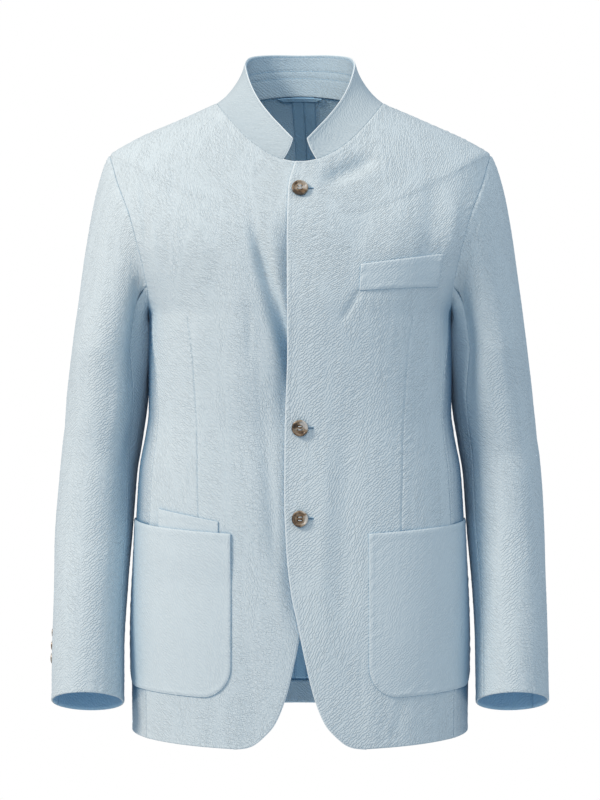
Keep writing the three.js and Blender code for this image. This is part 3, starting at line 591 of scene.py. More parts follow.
def shell(name, base, height, u, v, thick, axis, inward=False):
    """Closed cloth on a base grid. height lifts the outer face along the normals that point
    away from the axis, or towards it on a piece that is seen from inside."""
    normals = grid_normals(base)
    flipped = np.sum(normals * (base - axis)) < 0
    normals = -normals if flipped else normals
    if inward:
        normals, flipped = -normals, not flipped
    outer = base + normals * height[..., None]
    below = (lowest_near(height) - thick)[..., None]
    inner = base[::STRIDE, ::STRIDE] + normals[::STRIDE, ::STRIDE] * below
    ids = np.arange(height.size).reshape(height.shape)
    under = height.size + np.arange(inner[..., 0].size).reshape(inner.shape[:2])

    def quads(grid):
        corners = [grid[:-1, :-1], grid[:-1, 1:], grid[1:, 1:], grid[1:, :-1]]
        return np.stack(corners, axis=-1).reshape(-1, 4)

    fine, coarse = loop_round(ids), loop_round(under)
    spans = np.arange(len(coarse) - 1)[:, None] * STRIDE + np.arange(STRIDE, -1, -1)
    rim = np.hstack([fine[spans], coarse[:-1, None], coarse[1:, None]])
    faces = [quads(ids), quads(under)[:, ::-1], rim]
    if flipped:
        faces = [group[:, ::-1] for group in faces]
    flat_u, flat_v = np.broadcast_to(u, height.shape), np.broadcast_to(v, height.shape)
    uv = np.stack([flat_u, flat_v], axis=-1)
    uv = np.vstack([uv.reshape(-1, 2), uv[::STRIDE, ::STRIDE].reshape(-1, 2)])
    points = np.vstack([outer.reshape(-1, 3), inner.reshape(-1, 3)])
    obj = bpy.data.objects.new(name, write_mesh(name, points, faces, uv))
    bpy.context.scene.collection.objects.link(obj)
    side = np.concatenate([np.full(len(group), kind) for group, kind in zip(faces, (0, 1, 0))])
    obj.data.polygons.foreach_set("material_index", side.astype(np.int32))
    PIECES[name] = {"base": base, "points": outer, "normals": normals}
    return obj


def cut_size(base):
    """Width, length and area in metres of the flat cloth that shows, seam allowances left out."""
    width = run_lengths(base)[..., -1].max()
    length = run_lengths(np.swapaxes(base, 0, 1))[..., -1].max()
    cells = np.cross(np.diff(base, axis=0)[:, :-1], np.diff(base, axis=1)[:-1])
    area = min(np.linalg.norm(cells, axis=-1).sum(), width * length)
    return (width * MM, length * MM), area * MM**2


def dress(obj, base, nodes, slot):
    """What every cloth piece tells the frame: its body, its solid and its finish. Its cut is printed.
    """
    flat, area = cut_size(base)
    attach(obj, "root")
    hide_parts(*nodes)
    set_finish(obj, slot)
    triangles = len(obj.data.loops) - 2 * len(obj.data.polygons)
    width, length = flat[0] * 100, flat[1] * 100
    print(f"{obj.name}: {width:.1f} x {length:.1f} cm, {area * 1e4:.0f} cm2, {triangles} triangles")


# %% Grids woven on a surface
def row_places(surface, start, end, sides, step):
    """Rows from start to end whose steps along the longest of a few lines are even."""
    dense = np.linspace(start, end, 1500)
    steps = [
        np.linalg.norm(np.diff(surface(side(dense), dense), axis=0), axis=-1) for side in sides
    ]
    lengths = np.concatenate([[0], np.cumsum(np.max(steps, axis=0))])
    wanted = between(0.0, lengths[-1], cells_for(lengths[-1], step))[0]
    return np.interp(wanted, lengths, dense)


def woven(surface, rows, bounds, step):
    """Grid whose rows run over the surface from the first bound to the last, evenly by length,
    with close lines at every bound. Gives the places across, the points and the distances."""
    spread = np.linspace(0, 1, 240)
    low, high = bounds[0], bounds[-1]
    dense = low[:, None] + (high - low)[:, None] * spread
    lengths = run_lengths(surface(dense, rows[:, None]))
    stops = [
        np.array([np.interp(b, d, l) for b, d, l in zip(bound, dense, lengths)])
        for bound in bounds
    ]
    parts = [between(a, b, cells_for(float(np.mean(b - a)), step)) for a, b in zip(stops, stops[1:])]
    wanted = np.hstack([parts[0]] + [part[:, 1:] for part in parts[1:]])
    across = np.array([np.interp(w, l, d) for w, l, d in zip(wanted, lengths, dense)])
    across[:, 0], across[:, -1] = low, high
    return across, surface(across, rows[:, None]), wanted, parts[0].shape[1] - 1


def distance_to(points, line):
    """Distance of every point from a line of straight pieces."""
    flat = points.reshape(-1, 3)
    found = np.empty(len(flat))
    last = len(line) - 2
    for start in range(0, len(flat), 8000):
        part = flat[start:start + 8000]
        squares = (part**2).sum(1)[:, None] + (line**2).sum(1) - 2 * part @ line.T
        nearest = squares.argmin(1)
        options = []
        for piece in (np.clip(nearest - 1, 0, last), np.clip(nearest, 0, last)):
            a, run = line[piece], line[piece + 1] - line[piece]
            share = np.clip(((part - a) * run).sum(1) / np.maximum((run**2).sum(1), 1e-9), 0, 1)
            options.append(np.linalg.norm(part - a - share[:, None] * run, axis=1))
        found[start:start + 8000] = np.minimum(*options)
    return found.reshape(points.shape[:-1])


corner, straight = np.array([[3.0, 4, 0]]), np.array([[0.0, 0, 0], [0, 9, 0]])
print("distance of a corner from a side:", distance_to(corner, straight))

# %% [markdown]
# ## The two fronts
# A front runs from its edge round to the side seam and up to the neck. Its edge swings away
# below the last button. A dart from the chest to the pocket shapes the waist, so a line of the
# grid follows it. The left front lies over the right one, two cloths' thickness further out,
# and comes back down to the body beside the lap. The right front sinks in along the lap, by a
# depth that changes down the body, where the buttons pull the cloth over it.

# %% Fronts
LAP = {"lift": 2.3, "full_to": 20, "gone_at": 70}
DART = table("z x", [
    (-264, 129), (-301, 124.5), (-326, 122.5), (-369, 120), (-451, 118), (-520, 117),
])
dart_angles, dart_rises = place_on_front(DART["x"], DART["z"])
dart_angle = smooth_column(
    np.concatenate([[0, 120], dart_rises[::-1], [640, 820]]),
    np.concatenate([[dart_angles[-1]] * 2, dart_angles[::-1], [34, 40]]),
)
WALL = 1.2
UPRIGHT = np.array([0, 0, 1])
SIDES = {"left": 1, "right": -1}
TUCK = table("z depth", [
    (-760, 0), (-690, -0.8), (-620, -3), (-560, -5), (-480, -4), (-400, -3), (-335, -6.5),
    (-290, -6.5), (-200, -6), (-165, -3), (-135, 0),
])
tuck_depth = smooth_column(TUCK["z"], TUCK["depth"])
# Where each piece is cut from the crinkled cloth, so that no two show the same stretch of it.
CLOTH_SHIFT = {
    "left": (310, 40), "right": (0, 0), "back": (150, 400), "side": (520, 230),
    "top": (320, 0), "under": (530, 0), "collar": (700, 0), "facing": (700, 500),
    "pocket": (610, 330), "strip": (860, 120), "inside": (400, 90),
}
BACKS_APART, SIDES_APART, SLEEVES_APART = 90, 200, 210


def body_normal(angle, rise):
    """Outward normal of the plain body."""
    across = plain_body(angle + 0.2, rise) - plain_body(angle - 0.2, rise)
    up = plain_body(angle, rise + 0.5) - plain_body(angle, rise - 0.5)
    normal = np.cross(across, up)
    normal = normal / np.linalg.norm(normal, axis=-1, keepdims=True)
    outward = np.sign((normal * plain_body(angle, rise) * [1, 1, 0]).sum(-1, keepdims=True))
    return normal * outward


def mirrored(points, sign):
    """The same points on the left, sign 1, or on the right, sign -1."""
    return points * [sign, 1, 1]


def beside_arm(rows):
    """Which rows end at the armhole, or just under or over it."""
    return (rows > CORNER_RISE - 30) & (rows < SHOULDER_RISE + 20)


def lap_over(points):
    """Moves the left front forward over the right one."""
    lift = LAP["lift"] * (1 - smooth_step(LAP["full_to"], LAP["gone_at"], points[..., 0]))
    return points - np.array([0, 1, 0]) * lift[..., None]


def nearest_line(base, *lines):
    """Distance to the nearest of several border lines of a grid."""
    return np.min([distance_to(base, line) for line in lines], axis=0)


def front(side):
    """One front: folds, crinkle, seams, dart and turned edge, as heights over the plain body."""
    sign = SIDES[side]
    rows = row_places(plain_body, 0, NECK_RISE, [lambda r: outer_end(r, True), dart_angle], ALONG)
    start = angle_at_x(front_edge(RING["z_front"](rows)), rows)
    bounds = [start, dart_angle(rows), outer_end(rows, True)]
    _, base, across, dart_column = woven(plain_body, rows, bounds, AROUND)
    base = mirrored(lap_over(base) if sign > 0 else base, sign)
    shift = CLOTH_SHIFT[side]
    u = across + base[:, :1, 0] * sign + shift[0]
    v = np.broadcast_to(rows[:, None] + shift[1], across.shape)
    sewn = nearest_line(base, base[:, -1], base[-1])
    edge = nearest_line(base, base[:, 0], base[0])
    arm = nearest_line(base, base[beside_arm(rows), -1], base[-1])
    low, high = dart_rises[-1], dart_rises[0]
    darted = distance_to(base, base[(rows > low) & (rows < high), dart_column])
    flat = 1 - 0.8 * smooth_step(-26, -14, base[..., 0]) if sign < 0 else 1.0
    height = body_push(base, side) * smooth_step(0, 7, arm)
    if sign < 0:
        from_lap = np.minimum(base[..., 0] - front_edge(base[..., 2]), 0)
        height += tuck_depth(base[..., 2]) * np.exp(-((from_lap / 11) ** 2))
    height += crinkle(u, v) * flat * calm(sewn, edge)
    height += seam(sewn) + dart(darted) + turned(edge, stitch=4.2)
    height += pinch("level", u, v, sewn, 0.22) + pinch("level", u, v, darted, 0.2, 5)
    height += pinch("level", u, v, edge, 0.12, 5)
    obj = shell(f"front_{side}_cloth", base, height, u, v, WALL, base * UPRIGHT)
    dress(obj, base, [f"front_{side}"], "cloth")


for side in SIDES:
    front(side)

# %% [markdown]
# ## The backs and the side panels
# Each back runs from the seam at centre back to the side and up to the neck. The side panels
# fill the space between front and back under the arm, where a suit has them too.

# %% Backs
BACK_STEP = 1.15


def back(side):
    """One back: folds, crinkle, seams and turned hem, as heights over the plain body."""
    sign = SIDES[side]
    centre = CENTRE_BACK if sign > 0 else 360 - CENTRE_BACK
    lines = [lambda r: outer_end(r, False), lambda r: 150 + 0 * r]
    rows = row_places(plain_body, 0, NECK_RISE, lines, ALONG * BACK_STEP)
    ends = outer_end(rows, False)
    middle = np.full(len(rows), float(centre))
    _, base, across, _ = woven(plain_body, rows, [ends, middle], AROUND * BACK_STEP)
    base = mirrored(base, sign)
    shift = CLOTH_SHIFT["back"]
    u = base[:, -1:, 0] * sign + (across[:, -1:] - across) + shift[0] + BACKS_APART * sign
    v = np.broadcast_to(rows[:, None] + shift[1], across.shape)
    sewn = nearest_line(base, base[:, 0], base[:, -1], base[-1])
    hem = distance_to(base, base[0])
    arm = distance_to(base, base[beside_arm(rows), 0])
    height = body_push(base, "back") * smooth_step(0, 9, arm) + crinkle(u, v) * calm(sewn, hem)
    height += seam(sewn) + turned(hem)
    height += pinch("level", u, v, sewn, 0.22) + pinch("level", u, v, hem, 0.12, 5)
    obj = shell(f"back_{side}_cloth", base, height, u, v, WALL, base * UPRIGHT)
    dress(obj, base, [f"back_{side}"], "cloth")


for side in SIDES:
    back(side)

# %% Side panels
corner_front, corner_back = (float(SIDE_SEAMS[n](CORNER_RISE)) for n in ("front", "back"))


def side_surface(share, height):
    """Across the panel by share, and up it by height: its top follows the armhole."""
    top = armhole_between(FRONT_CORNER, BACK_CORNER, 1, 0, mix(corner_front, corner_back, share))
    rise = top * height / CORNER_RISE
    return plain_body(mix(SIDE_SEAMS["front"](rise), SIDE_SEAMS["back"](rise), share), rise)


def side_panel(side):
    """One side panel: its folds are the front's ahead of the arm and the back's behind it."""
    sign = SIDES[side]
    rows = row_places(side_surface, 0, CORNER_RISE, [lambda r: 0 * r], ALONG)
    _, base, across, _ = woven(side_surface, rows, [0 * rows, 0 * rows + 1], AROUND)
    base = mirrored(base, sign)
    shift = CLOTH_SHIFT["side"]
    u = across + shift[0] + SIDES_APART * sign
    v = np.broadcast_to(rows[:, None] + shift[1], across.shape)
    sewn = nearest_line(base, base[:, 0], base[:, -1], base[-1])
    hem = distance_to(base, base[0])
    push = np.where(base[..., 1] < 0, body_push(base, side), body_push(base, "back"))
    height = push + crinkle(u, v) * calm(sewn, hem)
    height += seam(sewn) + turned(hem) + pinch("level", u, v, sewn, 0.22)
    obj = shell(f"side_{side}_cloth", base, height, u, v, WALL, base * UPRIGHT)
    dress(obj, base, [f"side_{side}"], "cloth")


for side in SIDES:
    side_panel(side)

# %% [markdown]
# ## The sleeves
# A two-piece sleeve has its seams at the front and the back of the arm. From the armhole the
# cloth first moves outward, then falls ever faster, which gives the soft sleeve head, and from
# there it is a tube of ovals that swings forward at the elbow.

# %% Sleeve form
SLEEVE_RINGS = table("step x y z half_width half_depth tilt", [
    (0, 228, 8, -300, 45.3, 70, 0), (1, 232.1, 16, -360, 48.8, 66, 3),
    (2, 238.8, 18, -412, 48.2, 62, 8),
    (3, 243.3, 13, -450, 46.7, 59, 12), (4, 246.9, 3, -516, 46.3, 56, 16),
    (5, 249.5, -12, -580, 43.9, 53, 19),
    (6, 251.2, -27, -650, 42.8, 50, 20), (7, 250.8, -38, -716, 42.6, 49, 21),
])
OVAL = smooth_table(SLEEVE_RINGS, "step")
SLEEVE_SEAMS = smooth_table(table("place front_left back_left front_right back_right", [
    (0, 130, 283, 130, 283), (1, 134, 286, 134, 286), (4, 145, 300, 147, 306),
    (8, 148, 312, 157, 336),
]), "place")
HEAD_POWER = 1.7
ARM = "place length angle spread depth"
ARM_FOLDS = {
    "right": table(ARM, [
        (0.42, 0.35, 128, 15, -3.2), (0.7, 1.6, 134, 12, -4), (3, 1.1, 144, 11, -3.5),
        (3.9, 0.45, 70, 34, -2), (4.3, 0.4, 245, 30, -2),
        (2.2, 0.9, 112, 9, 1.3), (1.5, 0.7, 62, 12, -1.0), (1.0, 0.9, 133, 9, -1.0),
        (0.9, 0.7, 160, 10, 6.0), (5.4, 0.25, 96, 26, -0.9), (6.5, 0.5, 60, 14, 0.9),
        (0.6, 0.35, 40, 26, -1.0), (2.6, 0.3, 15, 30, -0.8), (1.2, 0.6, 300, 14, -1.4),
        (5.2, 0.3, 290, 30, -1.0),
    ]),
    "left": table(ARM, [
        (0.45, 0.35, 126, 15, -2.4), (0.8, 1.5, 130, 12, -4), (3.1, 1, 146, 11, -3),
        (3.7, 0.4, 80, 30, -2), (4.4, 0.4, 250, 30, -2),
        (2.0, 1.0, 108, 9, 1.2), (1.2, 0.6, 58, 13, -1.1), (1.1, 1.0, 133, 9, -1.0),
        (0.9, 0.6, 160, 10, 4.5), (5.6, 0.3, 88, 28, -1.0), (6.7, 0.5, 52, 13, 0.8),
        (0.5, 0.4, 48, 24, -0.9), (2.9, 0.3, 10, 28, -0.8), (1.0, 0.7, 310, 15, -1.3),
        (5.0, 0.3, 285, 30, -1.1),
    ]),
}


def half_armhole(start, end):
    """Shares of one half of the armhole's length, and the curve's shares there."""
    shares = np.linspace(start, end, 400)
    lengths = run_lengths(plain_body(*ARMHOLE(shares).T))
    return lengths / lengths[-1], shares


FRONT_HALF, BACK_HALF = half_armhole(0, 0.5), half_armhole(1, 0.5)


def armhole_point(angle):
    """The armhole's point that faces an angle round the arm: 0 at the shoulder, 90 in front."""
    turn = np.mod(angle, 360)
    ahead, behind = np.interp(turn / 180, *FRONT_HALF), np.interp((360 - turn) / 180, *BACK_HALF)
    place = ARMHOLE(np.where(turn <= 180, ahead, behind))
    return plain_body(place[..., 0], place[..., 1])


def plain_sleeve(angle, place):
    """Ovals after place 1. Before it, a way from the armhole to the first oval: evenly outward,
    and downward by the power of the share."""
    ring = {name: curve(np.maximum(place - 1, 0)) for name, curve in OVAL.items()}
    forward = ring["half_depth"] * np.sin(np.radians(angle))
    tilt = np.radians(ring["tilt"])
    x = ring["x"] + ring["half_width"] * np.cos(np.radians(angle))
    y = ring["y"] - forward * np.cos(tilt)
    z = ring["z"] + forward * np.sin(tilt)
    oval = np.stack(np.broadcast_arrays(x, y, z), axis=-1)
    share = np.clip(place, 0, 1) + 0 * x
    weight = np.stack([share, share, share**HEAD_POWER], axis=-1)
    return mix(armhole_point(angle + 0 * place), oval, weight)


def arm_push(folds, angle, place):
    """Sum of soft hollows and swells: depth times a bell round the arm and along it."""
    push = 0
    for at, length, toward, spread, depth in zip(*folds.values()):
        aside = np.mod(angle - toward + 180, 360) - 180
        push = push + depth * np.exp(-((aside / spread) ** 2) - ((place - at) / length) ** 2)
    return push


sleeve_line = plain_sleeve(0.0, np.linspace(0, 8, 400))
print("sleeve length", round(float(run_lengths(sleeve_line)[-1])), "mm")

# %% Sleeve pieces
SLEEVE_HEAD_MIDDLE = -165


def sleeve_piece(side, kind, low, high):
    """A top or under sleeve between two seams, which are angles by place."""
    sign = SIDES[side]
    rows = row_places(plain_sleeve, 0, 8, [low, high, lambda p: (low(p) + high(p)) / 2], ALONG)
    angle, base, across, _ = woven(plain_sleeve, rows, [low(rows), high(rows)], AROUND)
    place = rows[:, None]
    u = across - np.array([np.interp(30, a, d) for a, d in zip(angle, across)])[:, None]
    step = np.maximum(rows - 1, 0)
    ring_z = np.where(rows < 1, mix(SLEEVE_HEAD_MIDDLE, OVAL["z"](0.0), rows), OVAL["z"](step))
    middle = np.stack([OVAL["x"](step) * sign, OVAL["y"](step), ring_z], axis=-1)
    base = mirrored(base, sign)
    u, v = u + CLOTH_SHIFT[kind][0] + SLEEVES_APART * sign, base[..., 2]
    sewn = nearest_line(base, base[:, 0], base[:, -1], base[0])
    hem = distance_to(base, base[-1])
    head = distance_to(base, base[0])
    height = arm_push(ARM_FOLDS[side], angle, place) * smooth_step(0, 14, head)
    height = height + crinkle(u, v) * calm(sewn, hem)
    height += seam(sewn) + turned(hem)
    height += pinch("level", u, v, sewn, 0.2) + pinch("rising", u, v, head, 0.25, 16)
    obj = shell(f"{kind}_sleeve_{side}_cloth", base, height, u, v, WALL, middle[:, None])
    dress(obj, base, [f"{kind}_sleeve_{side}"], "cloth")


for side in SIDES:
    ahead, behind = SLEEVE_SEAMS[f"front_{side}"], SLEEVE_SEAMS[f"back_{side}"]
    sleeve_piece(side, "top", lambda p: behind(p) - 360, ahead)
    sleeve_piece(side, "under", ahead, behind)

# %% [markdown]
# ## The collar
# The band stands on the neck seam. From there the cloth comes in fast and rises late, so it
# flares softly. It is two cloths: the one outside, and the facing that shows inside the neck.

# %% Collar and facing
left_top = [
    (9, -86, -57), (21, -77, -43.5), (35, -64, -27), (49.5, -47, -6), (59, -30, 14),
    (65.5, -9, 36), (66, 17, 48.5), (59, 43, 58.5), (36, 62, 63.8), (0, 70, 64.8),
]
collar_top, collar_length = evened(through(left_top + [(-x, y, z) for x, y, z in left_top[-2::-1]]))
COLLAR_START = float(angle_at_x(20.0, float(NECK_RISE)))
COLLAR_TURN = 360 - 2 * COLLAR_START
neck_line, neck_length = evened(
    lambda share: plain_body(COLLAR_START + COLLAR_TURN * share, float(NECK_RISE))
)
COLLAR_MIDDLE = np.array([0, -10, 10])
IN_POWER, UP_POWER = 1.35, 1.1
QUILT_LINES = (19, 28)


def collar_surface(around, up):
    """Inward by 1 - (1 - up)^1.35 and upward by up^1.1 of the way from seam to top edge."""
    around, up = np.broadcast_arrays(around, up)
    inward = 1 - (1 - np.maximum(up, 0)) ** IN_POWER
    upward = np.sign(up) * np.abs(up) ** UP_POWER
    weight = np.stack([inward, inward, upward], axis=-1)
    return mix(neck_line(around), collar_top(around), weight)


def band(name, node, slot, outset, thick, inward, amount, low):
    """The collar's outer cloth or its facing, from low to the top edge, outset mm out or in."""
    rows = row_places(collar_surface, low, 1, [lambda r: 0.5 + 0 * r, lambda r: 0.03 + 0 * r], 1.6)
    _, base, across, _ = woven(collar_surface, rows, [0 * rows, 0 * rows + 1], AROUND)
    sewn = distance_to(base, base[0])
    shift = CLOTH_SHIFT["facing" if inward else "collar"]
    u, v = across - across[:, -1:] / 2 + shift[0], sewn + shift[1]
    edge = nearest_line(base, base[:, 0], base[:, -1], base[-1])
    height = outset + crinkle(u, v, amount) * calm(sewn, edge)
    height += turned(edge, under=7, stitch=2.6) + 0.5 * seam(sewn)
    height += pinch("upright", u, v, sewn, 0.16, 6)
    if inward:
        for line in QUILT_LINES:
            height = height - 0.6 * np.exp(-(((sewn - line - 4) / 1.1) ** 2))
    obj = shell(name, base, height, u, v, thick, COLLAR_MIDDLE, inward)
    dress(obj, base, [node], slot)


band("collar_cloth", "collar", "cloth", 0.0, WALL, False, 0.5, 0.0)
# The facing takes the darker inside finish, painted shade inside the neck.
band("collar_facing_cloth", "collar_facing", "cloth_inside", 2.5, 1.0, True, 0.6, -0.06)
lengths = [round(float(length)) for length in (neck_length, collar_length)]
print("collar: mm at the seam and at the top", lengths)

# %% [markdown]
# ## Pockets and welt
# The patch pockets are flat bags sewn on at their sides and bottom, with round lower corners.
# They wrap round the side. The small pocket behind the right one shows only its top, and the
# chest pocket shows its welt. Each is laid on the folded body.

# %% Places on the folded body
PATCH = {"front_x": 79, "breadth": 176, "bottom": 56, "front_top": 243, "side_top": 251, "corner": 36}
POCKET_LIFT = 1.8
TICKET = {
    "upper_front": (93.7, -499.5), "upper_side": (164.5, -486.5),
    "lower_side": (164.5, -521), "lower_front": (93.7, -531),
}
WELT = {
    "upper_front": (69, -206), "upper_side": (165, -192),
    "lower_side": (158.5, -229), "lower_front": (67.5, -235.5),
}
OVER_TICKET = {"lift": 2, "full_at": 4, "ramp_up": 41, "ramp_aside": 22}


def on_body(angle, rise, side):
    """The folded front of one side, in its place left or right."""
    plain = plain_body(angle, rise)
    if side == "left":
        plain = lap_over(plain)
    points = mirrored(plain, SIDES[side])
    normals = mirrored(body_normal(angle, rise), SIDES[side])
    return points + normals * body_push(points, side)[..., None], normals


def sew_on(name, node, base, u, v, height, edges):
    """A piece on the body: rounded down to it along its sewn edges, and turned at its mouth."""
    sewn, mouth = edges
    height = height + turned(sewn, under=6, stitch=1.5) + turned(mouth, under=9)
    height = height - 0.45 * np.exp(-((sewn / 1.6) ** 2))
    height = height + pinch("pucker", u, v, sewn, 0.22, 6)
    obj = shell(name, base, height, u, v, WALL, base * UPRIGHT)
    dress(obj, base, [node], "cloth")


def patch_bounds(rise, inset=0.0):
    """Angles of the pocket's two sides, or of a line inset from them: drawn in at the lower
    corners by a quarter circle."""
    rise = np.atleast_1d(rise)
    bottom, corner = PATCH["bottom"] + inset, PATCH["corner"] - inset
    front = angle_at_x(float(PATCH["front_x"]), rise)
    dense = np.linspace(0, 1, 240) * 75
    lengths = run_lengths(plain_body(front[:, None] + dense, rise[:, None]))
    below = np.clip(corner - (rise - bottom), 0, corner)
    drawn = inset + corner - np.sqrt(corner**2 - below**2) + 0.01
    low, high = (
        np.array([np.interp(w, l, dense) for w, l in zip(wanted, lengths)])
        for wanted in (drawn, PATCH["breadth"] - drawn)
    )
    return front + low, front + high


corner_turn = np.linspace(0, 90, 29)
patch_rows = np.concatenate([
    PATCH["bottom"] + PATCH["corner"] * (1 - np.cos(np.radians(corner_turn))),
    np.linspace(PATCH["bottom"] + PATCH["corner"], PATCH["front_top"], 77)[1:],
])
patch_low, patch_high = patch_bounds(patch_rows)


def patch_surface(side):
    """Across the pocket by share and up it by rise. Its mouth climbs towards the side."""
    def surface(share, rise):
        low, high = (np.interp(rise, patch_rows, ends) for ends in (patch_low, patch_high))
        up = (rise - PATCH["bottom"]) / (PATCH["front_top"] - PATCH["bottom"])
        lift = (PATCH["side_top"] - PATCH["front_top"]) * up
        return on_body(mix(low, high, share), rise + lift * share, side)[0]

    return surface


def patch_pocket(side):
    """A large pocket. The right one is lifted where it covers the small pocket."""
    rows = patch_rows
    _, base, across, _ = woven(patch_surface(side), rows, [0 * rows, 0 * rows + 1], 2.0)
    z, x = base[..., 2], np.abs(base[..., 0])
    shift = np.add(CLOTH_SHIFT[side], CLOTH_SHIFT["pocket"])
    u, v = across - across[:, -1:] / 2 + shift[0], rows[:, None] + 0 * across + shift[1]
    mouth = distance_to(base, base[-1])
    border = np.vstack([base[::-1, 0], base[0], base[:, -1]])
    sewn = distance_to(base, border)
    height = POCKET_LIFT + crinkle(u, v, 0.62) * smooth_step(-1, 4, np.minimum(sewn, mouth))
    if side == "right":
        low = TICKET["lower_front"][1] - OVER_TICKET["full_at"]
        beside = TICKET["lower_side"][0] + OVER_TICKET["full_at"]
        over = smooth_step(low - OVER_TICKET["ramp_up"], low, z)
        over = over * (1 - smooth_step(beside, beside + OVER_TICKET["ramp_aside"], x))
        height = height + OVER_TICKET["lift"] * over
    name, rests = f"patch_pocket_{side}", [f"front_{side}_cloth", f"side_{side}_cloth"]
    sew_on(f"{name}_cloth", name, base, u, v, height, (sewn, mouth))


for side in SIDES:
    patch_pocket(side)


# %% Small pocket and welt
def strip_surface(corners, side):
    """Between four corners seen from the front, along and up by shares."""
    corners = {name: np.array(place) for name, place in corners.items()}

    def surface(along, up):
        along = np.asarray(along)[..., None]
        lower = mix(corners["lower_front"], corners["lower_side"], along)
        upper = mix(corners["upper_front"], corners["upper_side"], along)
        at = mix(lower, upper, np.asarray(up)[..., None])
        return on_body(*place_on_front(at[..., 0], at[..., 1]), side)[0]

    return surface


def strip(name, node, corners, side, step, amount, mouth_up):
    """A small piece on the body, sewn on round its lower border, or only at its side."""
    surface = strip_surface(corners, side)
    rows = row_places(surface, 0, 1, [lambda r: 0.5 + 0 * r], step)
    _, base, across, _ = woven(surface, rows, [0 * rows, 0 * rows + 1], step)
    shift = CLOTH_SHIFT["strip"]
    u, v = across + shift[0], distance_to(base, base[0]) + shift[1]
    mouth = distance_to(base, base[-1])
    border = np.vstack([base[::-1, 0], base[0], base[:, -1]]) if mouth_up else base[:, -1]
    sewn = distance_to(base, border)
    height = POCKET_LIFT + crinkle(u, v, amount) * smooth_step(-1, 4, np.minimum(sewn, mouth))
    sew_on(name, node, base, u, v, height, (sewn, mouth))


strip("chest_welt_cloth", "chest_welt_left", WELT, "left", 1.6, 0.5, True)
strip("ticket_pocket_cloth", "ticket_pocket_right", TICKET, "right", 1.7, 0.6, False)

# %% [markdown]
# ## Inside the back
# Where the neck and the hem are open, the inside of the back shows: its turned-up hem, the two
# bound edges of the centre back seam, and the loop to hang the jacket by.

# %% Hem, seam edges and loop
HEM_TURN_UP, ALLOWANCE_WIDTH = 30, 14
LOOP = {"upper_half": 29, "lower_half": 20, "top": 817, "depth": 10}


def round_back(start, distance, rise):
    """Angle reached after a distance round the ring."""
    dense = start + np.sign(distance) * np.linspace(0, 40, 300)
    lengths = run_lengths(plain_body(dense, rise[:, None]))
    return np.array([np.interp(abs(distance), l, dense) for l in lengths])


def inside_piece(name, node, slot, rows, low, high, depth, thick, amount, step):
    """Cloth or tape that lies depth mm inside the back, between the angles low and high."""
    _, base, across, _ = woven(plain_body, rows, [low, high], step)
    shift = CLOTH_SHIFT["inside"]
    u, v = across + shift[0], rows[:, None] + 0 * across + shift[1]
    edge = distance_to(base, np.vstack([base[::-1, 0], base[0], base[:, -1], base[::-1][0][::-1]]))
    inward_push = -body_push(base, "back")
    height = depth + inward_push + crinkle(u, v, amount) + turned(edge, under=3, stitch=1.5)
    obj = shell(name, base, height, u, v, thick, base * UPRIGHT, inward=True)
    dress(obj, base, [node], slot)


hem_rows = np.linspace(1, HEM_TURN_UP, 17)
hem_end = SIDE_SEAMS["back"](hem_rows) + 1
# The turned-up hem takes the darker inside finish, painted shade.
inside_piece("hem_back_cloth", "hem_back", "cloth_inside", hem_rows, hem_end, 360 - hem_end,
             depth=3.1, thick=WALL, amount=0.5, step=2.4)
for side, sign in SIDES.items():
    rows = np.linspace(HEM_TURN_UP + 2, NECK_RISE - 2, 393)
    near = CENTRE_BACK - sign * 0.05 + 0 * rows
    far = round_back(CENTRE_BACK, -sign * ALLOWANCE_WIDTH, rows)
    low, high = (far, near) if sign > 0 else (near, far)
    inside_piece(f"seam_allowance_{side}_tape", f"seam_allowance_{side}", "tape", rows, low, high,
                 depth=3.4, thick=0.9, amount=0.3, step=2.2)
loop_rows = np.linspace(LOOP["top"] - LOOP["depth"], LOOP["top"], 9)
half = mix(LOOP["lower_half"], LOOP["upper_half"], (loop_rows - loop_rows[0]) / LOOP["depth"])
reach = [180 - float(round_back(180.0, -h, np.array([r]))[0]) for h, r in zip(half, loop_rows)]
reach = np.array(reach)
inside_piece("hanger_loop_tape", "hanger_loop", "tape", loop_rows, 180 - reach, 180 + reach,
             depth=4.7, thick=1.0, amount=0.25, step=1.8)

# %% [markdown]
# ## Buttons
# Horn buttons are turned on a lathe: a shallow dish inside a raised rim, four drilled holes and
# a softly rounded edge. Each is a grid of rings and spokes whose height follows that profile.

# %% Button shape
HOLE_AT, HOLE_RADIUS, HOLE_DEPTH = 1.9, 1.15, 3.0
FRONT_BUTTONS = {"radius": 9.5, "thick": 3.6, "spokes": 72, "rings": 26}
CUFF_BUTTONS = {"radius": 7, "thick": 2.8, "spokes": 40, "rings": 14}
BUTTON_HEIGHTS = (-118, -392, -495.5)
CUFF_PLACES, FROM_CUFF_SEAM = (7.19, 6.97, 6.75), 13.5
BUTTON_GAP = 0.6


